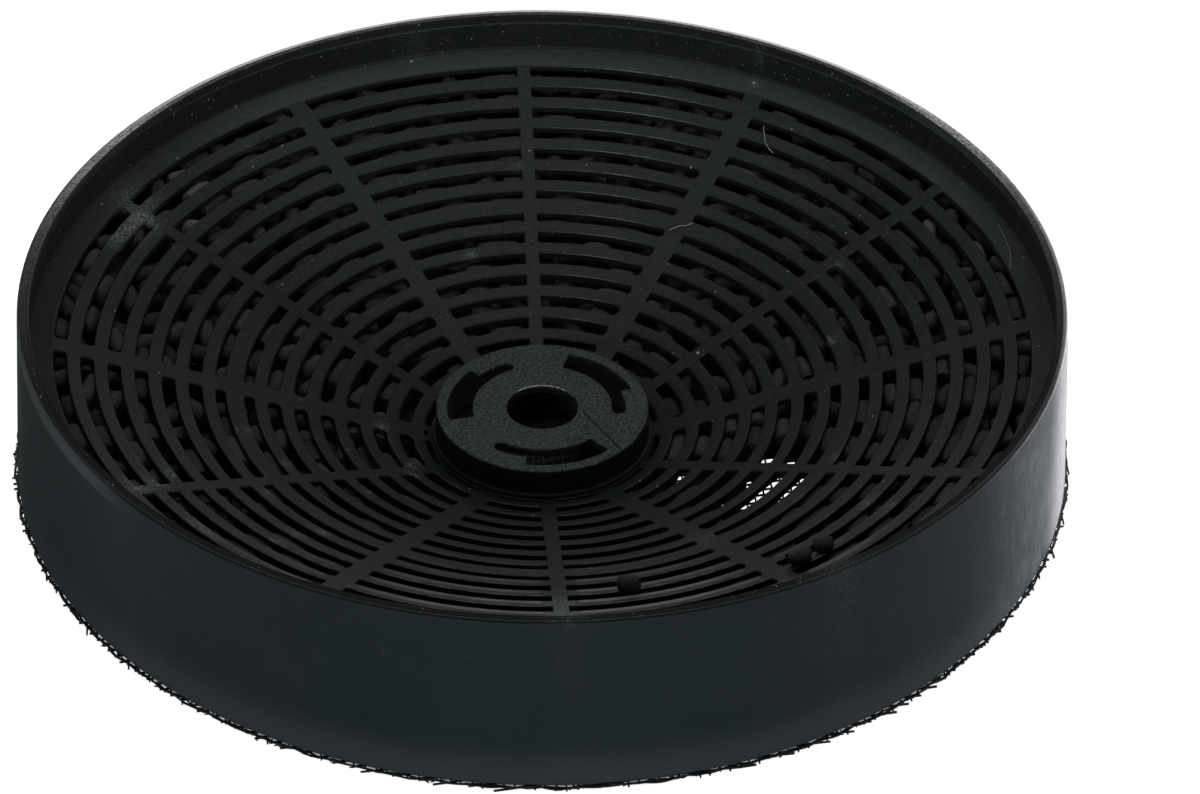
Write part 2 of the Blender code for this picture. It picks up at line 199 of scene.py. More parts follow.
class Moulding(Finish):
    # near-black satin: teal outside, greyer inside, grained on the hub, with scuff marks and dust;
    # painted highlights on edges, rim, hub and the wall's right, painted shade at the sides and in
    # slots
    def __init__(self):
        super().__init__("moulded black plastic")
        x, y, z = self.x, self.y, self.z = self.axes()
        radius = self.radius = (x * x + y * y) ** 0.5
        self.cloud = self.noise(26, 3, 0.6)
        self.patches = self.noise(6, 3, 0.65)
        self.mottle = self.noise(1.8, 3, 0.7)
        self.grain = self.noise(0.55, 2, 0.8)
        self.fine = self.noise(0.25, 2, 0.7)
        self.edge = self.painted("edge")
        self.outside = radius.step(104.0, 105.0)
        self.innerWall = radius.above(102.5) * (1 - self.outside)
        self.hubFace = radius.below(21.6) * z.above(9.2)
        self.leftMargin = radius.between(98.5, 103.2) * x.step(-50, -85)
        self.rimBack = z.above(36.8) * y.step(55, 78)
        frontMargin = radius.between(98.9, 103.1) * y.step(-10, -60)
        frontRim = z.above(37.4) * radius.between(102.4, 104.9) * y.step(0, -40)
        self.shaded = frontMargin + frontRim
        self.left = x.step(-80, -100) * self.outside
        self.right = x.step(78, 103) * self.outside
        # painted highlights along the slot edges, partly wear
        self.wornAndHighlit = self.edge.step(0.0, 1.0) * (0.35 + 0.65 * self.mottle.step(0.35, 0.6))
        self.wornAndHighlit = self.wornAndHighlit * (1 - self.rimBack)

    def insideColour(self):
        # painted light: paler behind and in front than at the sides, and on the back margin;
        # painted shade on the inner wall; paler and mottled in the hub's chamber
        x, y, radius = self.x, self.y, self.radius
        wall, mottle = self.innerWall, self.mottle
        # painted light: paler where more light falls, darker at the sides
        lit = (y - x * x / 110).step(0, 50) + y.step(-20, -70)
        deep = self.blend(lit, (0.0052, 0.0088, 0.0092), (0.0074, 0.0116, 0.0121))
        even = self.blend(lit, (0.0090, 0.0130, 0.0134), (0.0146, 0.0194, 0.0199))
        acrossSpoke = x * 0.5 + y * 0.866
        dullSpoke = (acrossSpoke * acrossSpoke).step(2.2 ** 2, 1.0 ** 2) * x.below(0.0)
        chamber = radius.below(20.1) * self.z.below(7.9)
        litBackMargin = radius.between(98.5, 102.7) * y.step(0, 60)
        return self.coats(self.blend(self.cloud.step(0.35, 0.7), deep, even), [
            # painted shade on the inner wall, deepest on the left
            (wall * (0.5 + 0.35 * x.step(-20, -90)), (0.0036, 0.0044, 0.0042)),
            (mottle.step(0.45, 0.7) * wall * 0.5, (0.0190, 0.0210, 0.0205)),
            (self.grain.step(0.48, 0.7) * (1 - wall * 0.75) * 0.6, (0.042, 0.049, 0.050)),
            (self.patches.step(0.52, 0.72) * (0.4 - 0.25 * wall), (0.0210, 0.0250, 0.0255)),
            (dullSpoke * 0.6, (0.0040, 0.0056, 0.0056)),
            (chamber * (0.3 + 0.7 * mottle), (0.060, 0.066, 0.056)),
            # painted light on the back margin, mottled
            (litBackMargin * (0.3 + 0.5 * mottle), (0.060, 0.070, 0.070)),
            (self.leftMargin * 0.55, (0.0040, 0.0052, 0.0046)),
        ])

    def outsideColour(self):
        # paler at the foot
        cloudy = self.cloud.step(0.35, 0.7)
        teal = self.blend(cloudy, (0.0044, 0.0128, 0.0152), (0.0068, 0.0156, 0.0184))
        return self.coats(teal, [
            (self.patches.step(0.5, 0.75) * 0.35, (0.0150, 0.0250, 0.0285)),
            (self.z.step(12, 1) * 0.75, (0.036, 0.048, 0.058)),
        ])

    def hubColour(self):
        # grained grey, its paleness partly painted light that stands in for a light from behind
        grainy = self.grain.step(0.4, 0.62)
        grey = self.blend(grainy, (0.0125, 0.0170, 0.0185), (0.092, 0.104, 0.110))
        return self.coats(grey, [
            (self.patches.step(0.35, 0.7) * 0.3, (0.070, 0.084, 0.086)),
        ])

    def rimCoats(self):
        # painted shade in front with a painted highlight line, painted highlights at the sides and
        # behind along the outer edge, and painted shade on the rim's inner half behind
        y, z, radius = self.y, self.z, self.radius
        # painted highlight on the rim at the sides, broken up by the grain
        rimGlare = z.above(36.8) * radius.between(102.7, 104.8) * y.step(-20, 50)
        rimGlare = rimGlare * (0.3 + 0.7 * y.step(20, 80)) * (1 - 0.6 * y.step(50, 0))
        rimGlare = rimGlare * (0.15 + 0.85 * (self.grain + self.fine * 0.5).step(0.60, 0.86))
        frontRimHighlight = z.above(37.6) * radius.between(104.1, 104.4) * y.step(-20, -60)
        leftRimHighlight = z.step(35.0, 36.2) * radius.above(104.6)
        leftRimHighlight = leftRimHighlight * self.x.step(-80, -95) * y.step(20, -10)
        return [
            # painted shade on the front margin and rim
            (self.shaded * 0.9, (0.0020, 0.0034, 0.0034)),
            (rimGlare, (0.75, 0.76, 0.77)),
            # painted highlight on the rim's outer edge behind, painted shade on its inner half
            (self.rimBack * radius.above(103.6) * 0.85, (0.90, 0.90, 0.90)),
            (self.rimBack * radius.between(102.4, 103.6) * 0.85, (0.0056, 0.0066, 0.0064)),
            # painted highlight lines on the front rim and on the left
            (frontRimHighlight * 0.5, (0.046, 0.056, 0.054)),
            (leftRimHighlight * (0.05 + 0.25 * self.grain), (0.40, 0.42, 0.44)),
        ]

    def wallCoats(self):
        # painted shade on the left with a painted highlight on its edge, painted highlights in
        # streaks on the right, and strongest at the very edge
        x, fine = self.x, self.fine
        streak = self.noise(0.8, 3, 0.75, self.stretch(1.0, 1.0, 0.10))
        glareStreaks = streak.step(0.40, 0.70) * (0.2 + 0.6 * self.patches.step(0.38, 0.62))
        glareStreaks = glareStreaks + fine.step(0.50, 0.70) * 0.75
        leftEdgeHighlight = x.step(-103.5, -106.2) * self.outside * self.z.step(12, 24)
        rightEdgeGlare = x.step(97.5, 103.8) * self.outside
        return [
            # painted shade on the left, painted highlights on its edge and on the right
            (self.left * 0.5, (0.0050, 0.0100, 0.0115)),
            (leftEdgeHighlight * (0.1 + 0.6 * fine), (0.10, 0.115, 0.13)),
            (self.right * (0.10 + 0.60 * glareStreaks), (0.34, 0.355, 0.40)),
            (rightEdgeGlare * (0.7 + 0.3 * glareStreaks), (0.82, 0.82, 0.85)),
        ]

    def landCoats(self):
        # painted highlight lines along the lands in front, and the worn end of the front spoke
        y, radius = self.y, self.radius
        pitch, lineRadius = 5.35, 93.8     # of the rows of slots, and of one land's line
        fromLine = radius.sum("PINGPONG", radius - lineRadius, pitch / 2)
        aside = (self.x * self.x) ** 0.5
        besideSpokes = ((aside * 0.866 + y * 0.5) ** 2.0).step(3.2 ** 2, 4.2 ** 2)
        besideSpokes = besideSpokes * aside.step(3.0, 4.0)
        # painted highlight lines along the front lands
        landHighlight = fromLine.step(1.0, 0.4) * y.step(-55, -82) * besideSpokes * radius.below(99.0)
        landHighlight = landHighlight * (0.3 + 0.7 * self.cloud.step(0.35, 0.6)) * (0.6 + 0.4 * self.grain)
        spokeEnd = aside.step(3.4, 2.8) * y.step(-70, -86) * radius.below(99.0)
        return [
            (landHighlight, (0.22, 0.235, 0.235)),
            (spokeEnd * (0.3 + 0.6 * self.grain.step(0.4, 0.6)), (0.130, 0.155, 0.165)),
        ]

    def wearCoats(self):
        # painted shade down in the slots, worn edges with painted highlights and glints, scuff
        # marks with some painted glints, and dust
        edge, grain, mottle = self.edge, self.grain, self.mottle
        bright = edge.step(0.5, 0.95) * mottle.step(0.36, 0.56)
        scuffedAndGlinting = self.painted("scuff") * (0.1 + 1.3 * grain.step(0.42, 0.62))
        dust = self.specks(3.1, 0.2, 0.07) + self.specks(1.1, 0.1, 0.13) * 0.5
        wallDust = self.specks(1.5, 0.4, 0.11) * 0.5 + self.specks(2.3, 0.5, 0.08)
        dust = (dust + wallDust * self.innerWall) * (1 - self.outside * 0.85)
        return [
            # painted shade down in the slots
            (edge.step(-0.15, -0.8) * 0.8, (0.0022, 0.0026, 0.0026)),
            # painted highlights on the edges, partly wear
            (self.wornAndHighlit * 0.85, (0.165, 0.182, 0.186)),
            (bright * 0.7, (0.36, 0.38, 0.385)),
            # painted glints on the bore's far edge
            (edge.step(1.1, 1.5) * grain.step(0.45, 0.55), (0.80, 0.81, 0.82)),
            (scuffedAndGlinting * 0.85, (0.17, 0.19, 0.20)),
            (dust * 0.75, (0.34, 0.35, 0.35)),
        ]

    def finished(self):
        colour = self.blend(self.outside, self.insideColour(), self.outsideColour())
        colour = self.blend(self.hubFace, colour, self.hubColour())
        for coats in (self.rimCoats(), self.wallCoats(), self.landCoats(), self.wearCoats()):
            colour = self.coats(colour, coats)
        matt = 0.3 * (self.shaded + self.rimBack) + 0.2 * self.leftMargin + 0.32 * self.left
        glossy = 0.2 * self.wornAndHighlit + 0.26 * self.right
        relief = self.grain * (self.hubFace * 2.0 + 0.8) + self.fine * 0.4
        self.set(
            Base_Color=colour,
            Roughness=0.45 + 0.16 * self.cloud + 0.08 * self.hubFace + matt - glossy,
            Normal=self.bump(relief, 0.06, 0.9),
            Specular_IOR_Level=0.25,
        )
        return self.material


def nettingPlastic():
    # drawn black thread, a little shiny
    finish = Finish("black netting thread")
    cloud = finish.noise(4, 2, 0.6)
    scuff = finish.noise(0.5, 2, 0.6)
    colour = finish.blend(cloud, (0.007, 0.009, 0.010), (0.016, 0.019, 0.020))
    colour = finish.blend(scuff.step(0.62, 0.8) * 0.6, colour, (0.08, 0.085, 0.088))
    x, y, _ = finish.axes()
    # painted shade: near-black and matt under the filter
    inside = (x * x + y * y).below(103.0 ** 2)
    colour = finish.blend(inside * 0.8, colour, (0.003, 0.003, 0.003))
    finish.set(
        Base_Color=colour,
        Roughness=0.34 + 0.2 * cloud + 0.4 * inside,
        Normal=finish.bump(scuff, 0.04, 0.7),
    )
    return finish.material


def activatedCarbon():
    # dull dark grey with a rough speckled skin, pale ash in places, a few painted glints, and
    # painted shade at the sides and in front
    finish = Finish("activated carbon")
    tone = finish.painted("tone")
    skin = finish.noise(0.8, 3, 0.75)
    grit = finish.noise(0.3, 2, 0.8)
    ash = finish.noise(1.6, 3, 0.7)
    glints = finish.specks(0.7, 0.12, 0.2)
    dark = finish.blend(grit.step(0.42, 0.62), (0.0110, 0.0128, 0.0130), (0.056, 0.060, 0.059))
    pale = finish.blend(grit.step(0.38, 0.60), (0.060, 0.064, 0.064), (0.200, 0.208, 0.208))
    colour = finish.blend(tone, dark, pale)
    colour = finish.blend(ash.step(0.52, 0.75) * 0.5, colour, (0.085, 0.088, 0.086))
    colour = finish.blend(glints * (0.2 + 0.6 * tone), colour, (0.30, 0.31, 0.31))
    x, y, _ = finish.axes()
    # painted shade on the pellets at the sides and in front
    shadedAtSides = (y - x * x / 110).step(50, 0) * (1 - tone)
    colour = finish.blend(shadedAtSides * 0.4, colour, (0.0050, 0.0058, 0.0058))
    finish.set(
        Base_Color=colour,
        Roughness=0.60 + 0.3 * skin,
        Normal=finish.bump(skin * 0.6 + grit * 0.5, 0.4, 1.0),
        Specular_IOR_Level=0.35,
    )
    return finish.material


def paleLint():
    finish = Finish("pale lint")
    cloud = finish.noise(0.6, 2, 0.6)
    finish.set(
        Base_Color=finish.blend(cloud, (0.34, 0.35, 0.35), (0.66, 0.67, 0.67)),
        Roughness=0.7 + 0.2 * cloud,
        Normal=finish.bump(cloud, 0.02, 0.6),
    )
    return finish.material


plastic = Moulding().finished()
thread = nettingPlastic()
carbonSkin = activatedCarbon()
lintSkin = paleLint()
print("materials made")


# Shape helpers

def addObject(name, data):
    obj = bpy.data.objects.new(name, data)
    bpy.context.scene.collection.objects.link(obj)
    return obj


def polar(radius, angle, z=0.0):
    return (radius * math.cos(angle), radius * math.sin(angle), z)


def spread(first, last, count):
    # count values from first to last, both included
    return [first + (last - first) * i / (count - 1) for i in range(count)]


class Body:
    # vertices and faces of one closed mesh, with shared points found again by name
    def __init__(self):
        self.points = []
        self.faces = []
        self.named = {}
        self.painted = {}

    def paint(self, name, ids, value):
        self.painted.setdefault(name, {}).update((i, value) for i in ids)

    def point(self, position, name=None):
        if name in self.named:
            return self.named[name]
        self.points.append(tuple(position))
        if name is not None:
            self.named[name] = len(self.points) - 1
        return len(self.points) - 1

    def loop(self, positions):
        return [self.point(position) for position in positions]

    def band(self, first, second):
        # quads between two closed loops of the same length
        for i in range(len(first)):
            self.faces.append((first[i - 1], first[i], second[i], second[i - 1]))

    def bands(self, loops):
        for first, second in zip(loops, loops[1:]):
            self.band(first, second)

    def fill(self, *loops):
        # flat face with holes: the first loop is its outside
        flat = [[Vector(self.points[i]) for i in loop] for loop in loops]
        ids = [i for loop in loops for i in loop]
        for a, b, c in tessellate_polygon(flat):
            self.faces.append((ids[a], ids[b], ids[c]))

    def piece(self, name, material, sharpAngle=50.0):
        mesh = bpy.data.meshes.new(name)
        mesh.from_pydata([[v * mm for v in p] for p in self.points], [], self.faces)
        bm = bmesh.new()
        bm.from_mesh(mesh)
        bmesh.ops.recalc_face_normals(bm, faces=bm.faces)
        bm.to_mesh(mesh)
        bm.free()
        mesh.shade_smooth()
        mesh.set_sharp_from_angle(angle=math.radians(sharpAngle))
        mesh.materials.append(material)
        for kind, values in self.painted.items():
            layer = np.zeros(len(self.points), np.float32)
            layer[list(values)] = list(values.values())
            mesh.attributes.new(kind, "FLOAT", "POINT").data.foreach_set("value", layer)
        obj = addObject(name, mesh)
        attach(obj, "root")
        print(name + ":", len(self.faces), "faces")
        return obj


def offsetOutline(points, distance):
    # move an (x, y) outline outwards, for one that runs anticlockwise
    moved = []
    for i, point in enumerate(points):
        before = (point - points[i - 1]).normalized()
        after = (points[(i + 1) % len(points)] - point).normalized()
        normal = Vector((before.y + after.y, -before.x - after.x)).normalized()
        share = max(0.5, normal.dot(Vector((before.y, -before.x))))
        moved.append(point + normal * distance / share)
    return moved


# Housing: wall, dished grille and hub in one moulding

housing = {
    "rimRadius": 105.0,
    "footRadius": 106.8,
    "footZ": 0.8,
    "rimZ": 38.8,
    "wall": 2.4,
    "grilleEdgeZ": 30.0,
    "grilleEdge": 103.02,
    "marginStart": 101.3,
    "dish": 18.25,
    "sheet": 1.5,
    "landRound": 0.38,
    "underRound": 0.15,
    "wideSpoke": 4.4,
    "narrowSpoke": 3.1,
    "hubRadius": 21.7,
    "hubTopZ": 9.8,
    "hubWall": 1.8,
    "hubDisc": 1.8,
    "collar": 22.45,
    "collarHeight": 0.7,
    "boreRadius": 7.3,
}

# Slot rows from the wall inwards, in two zones beside the wide band, each with the radius of its
# first slot's outer edge and the pitch of its rows
rowPlan = {"outerStart": 98.3, "outerPitch": 5.35, "outerCount": 7,
           "innerStart": 61.1, "innerPitch": 5.3, "innerCount": 8,
           "slot": 2.6, "bandTrim": 0.6, "firstLand": 1.35, "zoneEdge": 58}

# How round the slots' ends are beside the wide spokes: spoke, side, near the hub, near the wall
endRounds = {
    (0, 1): (1.1, 0.5), (0, -1): (0.8, 0.5),
    (2, 1): (1.0, 0.8), (2, -1): (0.45, 0.45),
    (4, 1): (0.7, 0.7), (4, -1): (0.5, 0.5),
    (6, 1): (1.2, 0.7), (6, -1): (1.2, 0.7),
    (8, 1): (0.8, 0.8), (8, -1): (0.4, 0.4),
    (10, 1): (0.8, 0.8), (10, -1): (0.8, 0.8),
}
narrowRound = 0.18

cornerSteps = 4      # of one rounded slot corner
arcSteps = 14        # along a slot
sectorSteps = arcSteps + 4
stationCount = 12 * sectorSteps
spokeShares = (0.18, 0.3, 0.7, 0.82)     # points along a spoke, from row to row
spokeAngle = math.radians(30)
dish = math.radians(housing["dish"])
fall = math.tan(dish)

# Steps down a rounded edge: tilt, and the shares of the rounding outwards and down
edgeSteps = []
for tilt in (0, 30, 60, 90):
    turned = math.radians(tilt)
    edgeSteps.append((tilt, 1 - math.sin(turned), 1 - math.cos(turned)))


def slotRows():
    rows = []
    for zone in ("outer", "inner"):
        for i in range(rowPlan[zone + "Count"]):
            outer = rowPlan[zone + "Start"] - rowPlan[zone + "Pitch"] * i
            rows.append([outer, outer - rowPlan["slot"]])
    rows[rowPlan["outerCount"] - 1][1] += rowPlan["bandTrim"]
    rows[rowPlan["outerCount"]][0] -= rowPlan["bandTrim"]
    rows[-1][1] = housing["collar"] + 0.3
    return rows


def grilleTop(radius):
    return housing["grilleEdgeZ"] - fall * (housing["grilleEdge"] - radius)


def grilleUnder(radius):
    return grilleTop(radius) - housing["sheet"]


def halfSpoke(spoke):
    return (housing["narrowSpoke"] if spoke % 2 else housing["wideSpoke"]) / 2


def stationAngles(radius):
    # the angles at which rings cross each sector, closer together on the spokes
    angles = []
    for spoke in range(12):
        start = spoke * spokeAngle
        end = start + spokeAngle
        slotStart = start + (halfSpoke(spoke) + 0.5) / radius
        slotEnd = end - (halfSpoke(spoke + 1) + 0.5) / radius
        angles += [start, (start + slotStart) / 2]
        angles += spread(slotStart, slotEnd, arcSteps + 1)
        angles.append((slotEnd + end) / 2)
    return angles


def cornerRound(spoke, side, radius):
    if spoke % 2:
        return narrowRound
    near, far = endRounds[(spoke % 12, side)]
    return near if radius < rowPlan["zoneEdge"] else far


def slotCorner(spoke, side, edge, outwards, outset):
    # points of one slot corner, from the spoke's side to the arc, and the centre's angle
    rounding = cornerRound(spoke, side, edge)
    y = side * (halfSpoke(spoke) + rounding)
    x = math.sqrt((edge - outwards * rounding) ** 2 - y * y)
    toSpoke = -side * math.pi / 2
    toArc = math.atan2(outwards * y, outwards * x)
    turn = (toArc - toSpoke + math.pi) % (2 * math.pi) - math.pi
    base = spoke * spokeAngle
    points = []
    for i in range(cornerSteps + 1):
        direction = toSpoke + turn * i / cornerSteps
        px = x + (rounding + outset) * math.cos(direction)
        py = y + (rounding + outset) * math.sin(direction)
        points.append(polar(math.hypot(px, py), base + math.atan2(py, px)))
    return points, base + math.atan2(y, x)


def slotOutline(sector, outer, inner, outset, drop, roof):
    # closed loop round one slot, widened by outset and sunk by drop under a roof height
    corners = []
    for edge, outwards, grow in ((outer, 1, outset[0]), (inner, -1, outset[1])):
        corners.append(slotCorner(sector, 1, edge, outwards, grow))
        corners.append(slotCorner(sector + 1, -1, edge, outwards, grow))
    (a, aTurn), (b, bTurn), (d, dTurn), (c, cTurn) = corners
    far = [polar(outer + outset[0], t) for t in spread(aTurn, bTurn, arcSteps + 1)[1:-1]]
    near = [polar(inner - outset[1], t) for t in spread(cTurn, dTurn, arcSteps + 1)[1:-1]]
    flat = a[2:] + far + b[::-1] + c + near + d[::-1] + a[:2]
    return [(x, y, roof(math.hypot(x, y)) - drop) for x, y, _ in flat]


def cellBoundary(body, sector, row, borders, level, roof):
    # closed loop round one slot's cell, shared with the cells beside it
    far, near = borders[row], borders[row + 1]
    places = range(len(spokeShares))
    loop = []

    def onArc(border, station):
        station %= stationCount
        name = (level, border, station)
        if name not in body.named:
            angle = stationAngles(borders[border])[station]
            body.point(polar(borders[border], angle, roof(borders[border])), name)
        loop.append(body.named[name])

    def onSpoke(spoke, place):
        radius = far + (near - far) * spokeShares[place]
        position = polar(radius, spoke * spokeAngle, roof(radius))
        loop.append(body.point(position, (level, "spoke", row, spoke % 12, place)))

    stations = range(sector * sectorSteps, (sector + 1) * sectorSteps + 1)
    for station in stations:
        onArc(row, station)
    for place in places:
        onSpoke(sector + 1, place)
    for station in reversed(stations):
        onArc(row + 1, station)
    for place in reversed(places):
        onSpoke(sector, place)
    return loop


# Pale scuff marks on the housing, some of them painted glints: angle, radius, width, strength
scuffsAndGlints = [
    (270.3, 79.0, 1.8, 0.5), (270.3, 84.0, 2.2, 0.8), (270.3, 89.0, 2.4, 1.0),
    (270.3, 94.0, 2.6, 1.0), (270.0, 98.0, 3.0, 1.0), (299.8, 97.5, 3.6, 0.8),
    (299.5, 91.0, 2.4, 0.4), (153.7, 93.3, 2.0, 1.0), (156.1, 94.8, 1.8, 0.9),
    (151.0, 93.2, 2.4, 1.0), (149.0, 96.5, 3.0, 0.5), (130.0, 91.5, 1.5, 0.4),
    (11.9, 61.2, 0.6, 1.0), (105.0, 51.4, 0.6, 1.0), (194.0, 61.2, 0.6, 1.0),
    (205.0, 57.3, 0.7, 1.0), (207.0, 30.3, 0.8, 1.0), (218.8, 45.3, 0.7, 1.0),
    (183.0, 32.6, 0.7, 1.0), (227.0, 79.0, 0.9, 0.9), (227.0, 73.0, 0.9, 1.0),
    (228.0, 67.5, 0.8, 1.0), (334.0, 64.3, 0.8, 1.0), (321.1, 79.8, 1.4, 0.8),
    (320.3, 85.1, 1.4, 0.7), (319.8, 64.3, 0.9, 0.7), (221.6, 88.4, 1.6, 0.7),
    (218.6, 88.4, 1.4, 0.6), (209.5, 92.3, 1.6, 0.9), (209.0, 88.2, 1.2, 0.8),
    (206.4, 83.0, 1.2, 0.8), (214.1, 66.4, 0.9, 0.8), (242.7, 81.1, 0.7, 0.7),
    (189.9, 33.0, 0.7, 0.9), (213.5, 32.3, 0.8, 0.8), (28.0, 71.6, 0.8, 0.6),
    (60.8, 101.3, 0.8, 0.7), (103.8, 103.1, 0.8, 0.7), (92.2, 72.2, 0.7, 0.6),
    (300.0, 60.0, 2.0, 0.3),
]


def paintEdge(body, ids, middle, tilt):
    # painted highlights, partly wear, on the edges of one slot: strong in front, and on the hub's
    # side of the lands behind, and below 0 down in the slot, where it is painted shade
    if tilt == 90:
        body.paint("edge", ids, -1.0)
        return
    outerZone = middle > rowPlan["zoneEdge"]
    for i in ids:
        px, py, _ = body.points[i]
        radius = math.hypot(px, py)
        front, right = -py / radius, px / radius
        level = 0.10
        if front > 0:
            level += front * (0.85 if middle > 74 else 0.62 if outerZone else 0.38)
            level *= {0: 0.26 if outerZone else 0.1, 30: 0.5, 60: 1}[tilt]
        else:
            if radius > middle:
                level += 0.10 - 0.15 * front + 0.5 * math.exp(-((right - 0.27) / 0.16) ** 2)
            level *= {0: 0, 30: 0.15, 60: 1}[tilt]
        turn = math.atan2(py, px) / spokeAngle
        spoke = round(turn)
        gap = radius * abs(math.sin((turn - spoke) * spokeAngle)) - halfSpoke(spoke)
        body.paint("edge", [i], level * min(1.0, 0.35 + 0.4 * max(0.0, gap)))


def paintScuffsAndGlints(body):
    # scuff marks and painted glints, kept on the housing's points
    at = np.array(body.points)[:, :2]
    total = np.zeros(len(at))
    for angle, radius, width, strength in scuffsAndGlints:
        px, py, _ = polar(radius, math.radians(angle))
        gap = np.hypot(at[:, 0] - px, at[:, 1] - py)
        total = np.maximum(total, strength * np.exp(-(gap / width) ** 2 / 2))
    total[np.array(body.points)[:, 2] < 4] = 0
    body.painted["scuff"] = dict(enumerate(total))


def buildGrille(body):
    rows = slotRows()
    borders = [rows[0][0] + rowPlan["firstLand"]]
    borders += [(rows[i][1] + rows[i + 1][0]) / 2 for i in range(len(rows) - 1)]
    borders.append(housing["collar"])
    for row, (outer, inner) in enumerate(rows):
        last = row == len(rows) - 1
        roundIn = 0.2 if last else housing["landRound"]
        for sector in range(12):
            loops = [cellBoundary(body, sector, row, borders, "top", grilleTop)]
            for tilt, out, down in edgeSteps:
                outset = (housing["landRound"] * out, roundIn * out)
                drop = housing["landRound"] * down
                loops.append(body.loop(slotOutline(sector, outer, inner, outset, drop, grilleTop)))
                paintEdge(body, loops[-1], (outer + inner) / 2, tilt)
            edge = housing["underRound"]
            low = housing["sheet"] - edge
            loops.append(body.loop(slotOutline(sector, outer, inner, (0, 0), low, grilleTop)))
            body.paint("edge", loops[-1], -1.0)
            outset = (edge, edge)
            loops.append(body.loop(slotOutline(sector, outer, inner, outset, 0, grilleUnder)))
            loops.append(cellBoundary(body, sector, row, borders, "under", grilleUnder))
            body.bands(loops)
    rings = []
    for level in ("top", "under"):
        for border in (0, len(rows)):
            rings.append([body.named[(level, border, i)] for i in range(stationCount)])
    return rings


def lathe(body, start, profile, end=None):
    # rings from the loop start along a profile of (radius, z), and into the loop end
    loop = start
    for radius, z in profile:
        angles = stationAngles(radius)
        ring = body.loop([polar(radius, angle, z) for angle in angles])
        body.band(loop, ring)
        loop = ring
    if end:
        body.band(loop, end)
    return loop


def wallRadius(z):
    share = (z - housing["footZ"]) / (housing["rimZ"] - housing["footZ"])
    return housing["footRadius"] + (housing["rimRadius"] - housing["footRadius"]) * share


def quarter(centre, radius, first, last, steps):
    # points (radius, z) on an arc of the section
    turns = [math.radians(turn) for turn in spread(first, last, steps + 1)]
    return [(centre[0] + radius * math.cos(t), centre[1] + radius * math.sin(t)) for t in turns]


def wallSection():
    # from the grille's margin over the rim and down to the foot, then up inside to the sheet:
    # the rim is rounded on both sides, with a shallow step near its outer edge
    top, foot = housing["rimZ"], housing["footZ"]
    inner = wallRadius(top) - housing["wall"]
    outer = wallRadius(top)
    edge, margin = housing["grilleEdge"], housing["marginStart"]
    section = [(margin, grilleTop(margin)), (edge - 0.7, grilleTop(edge - 0.7))]
    section += quarter((edge - 0.66, grilleTop(edge) + 0.52), 0.7, -58, -4, 3)
    section += [(wallRadius(34) - housing["wall"], 34.0)]
    section += quarter((inner + 0.35, top - 0.35), 0.35, 180, 90, 4)
    section += [(outer - 1.05, top), (outer - 0.93, top - 0.04), (outer - 0.85, top - 0.16)]
    section += [(outer - 0.62, top - 0.2)]
    section += quarter((outer - 0.42, top - 0.62), 0.42, 90, 8, 4)
    section += [(wallRadius(z), z) for z in (36.0, 30.0, 22.0, 14.0, 6.0, 1.6)]
    section += quarter((wallRadius(foot) - 0.4, foot + 0.4), 0.4, 0, -90, 3)
    innerFoot = wallRadius(foot) - housing["wall"]
    section += quarter((innerFoot + 0.4, foot + 0.4), 0.4, -90, -180, 2)
    low = grilleUnder(edge)
    section += [(wallRadius(z) - housing["wall"], z) for z in (8.0, 16.0, 24.0, low - 0.5)]
    section += [(edge - 0.6, grilleUnder(edge - 0.6)), (margin, grilleUnder(margin))]
    return section


keyholes = {
    "inner": 14.2,
    "mouthOuter": 19.4,
    "trackOuter": 17.0,
    "mouthStart": 137.0,
    "mouth": 54.0,
    "track": 27.0,
}


def keyholeOutline(turned):
    # anticlockwise: along the mouth's far side, back along the near side, round the track's end
    inner, outer, track = (keyholes[name] for name in ("inner", "mouthOuter", "trackOuter"))
    start = math.radians(keyholes["mouthStart"] + turned)
    end = start + math.radians(keyholes["mouth"])
    half = (track - inner) / 2
    middle = inner + half
    trackEnd = start - math.radians(keyholes["track"]) + half / middle
    points = [polar(track, t) for t in spread(trackEnd, start - 0.004, 8)]
    points += [polar(track + 0.25, start), polar(outer - 0.3, start)]
    points += [polar(outer - 0.08, start + 0.005)]
    points += [polar(outer, t) for t in spread(start + 0.018, end - 0.02, 16)]
    points += [polar(outer - 0.1, end - 0.004), polar(outer - 0.4, end)]
    points += [polar(inner + 0.35, end), polar(inner + 0.08, end - 0.007)]
    points += [polar(inner, t) for t in spread(end - 0.025, trackEnd, 22)]
    centre = Vector(polar(middle, trackEnd)[:2])
    flat = [Vector(p[:2]) for p in points]
    for turn in spread(trackEnd + math.pi, trackEnd + 2 * math.pi, 9)[1:-1]:
        flat.append(centre + half * Vector((math.cos(turn), math.sin(turn))))
    return flat


def cutThrough(body, outline, top, bottom, rounding):
    # rounded edge, wall and lower edge of one opening: returns its loops on both faces
    loops = []
    for tilt, out, down in edgeSteps:
        moved, z = offsetOutline(outline, rounding * out), top - rounding * down
        loops.append(body.loop([(p.x, p.y, z) for p in moved]))
        # a painted highlight along the rounded edge
        if tilt in (30, 60):
            body.paint("edge", loops[-1], 0.45)
    loops.append(body.loop([(p.x, p.y, bottom) for p in outline]))
    body.bands(loops)
    return loops[0], loops[-1]


knitLine = {"start": (7.95, -1.5), "end": (15.05, -14.5), "width": (0.28, 0.5), "depth": 0.4}


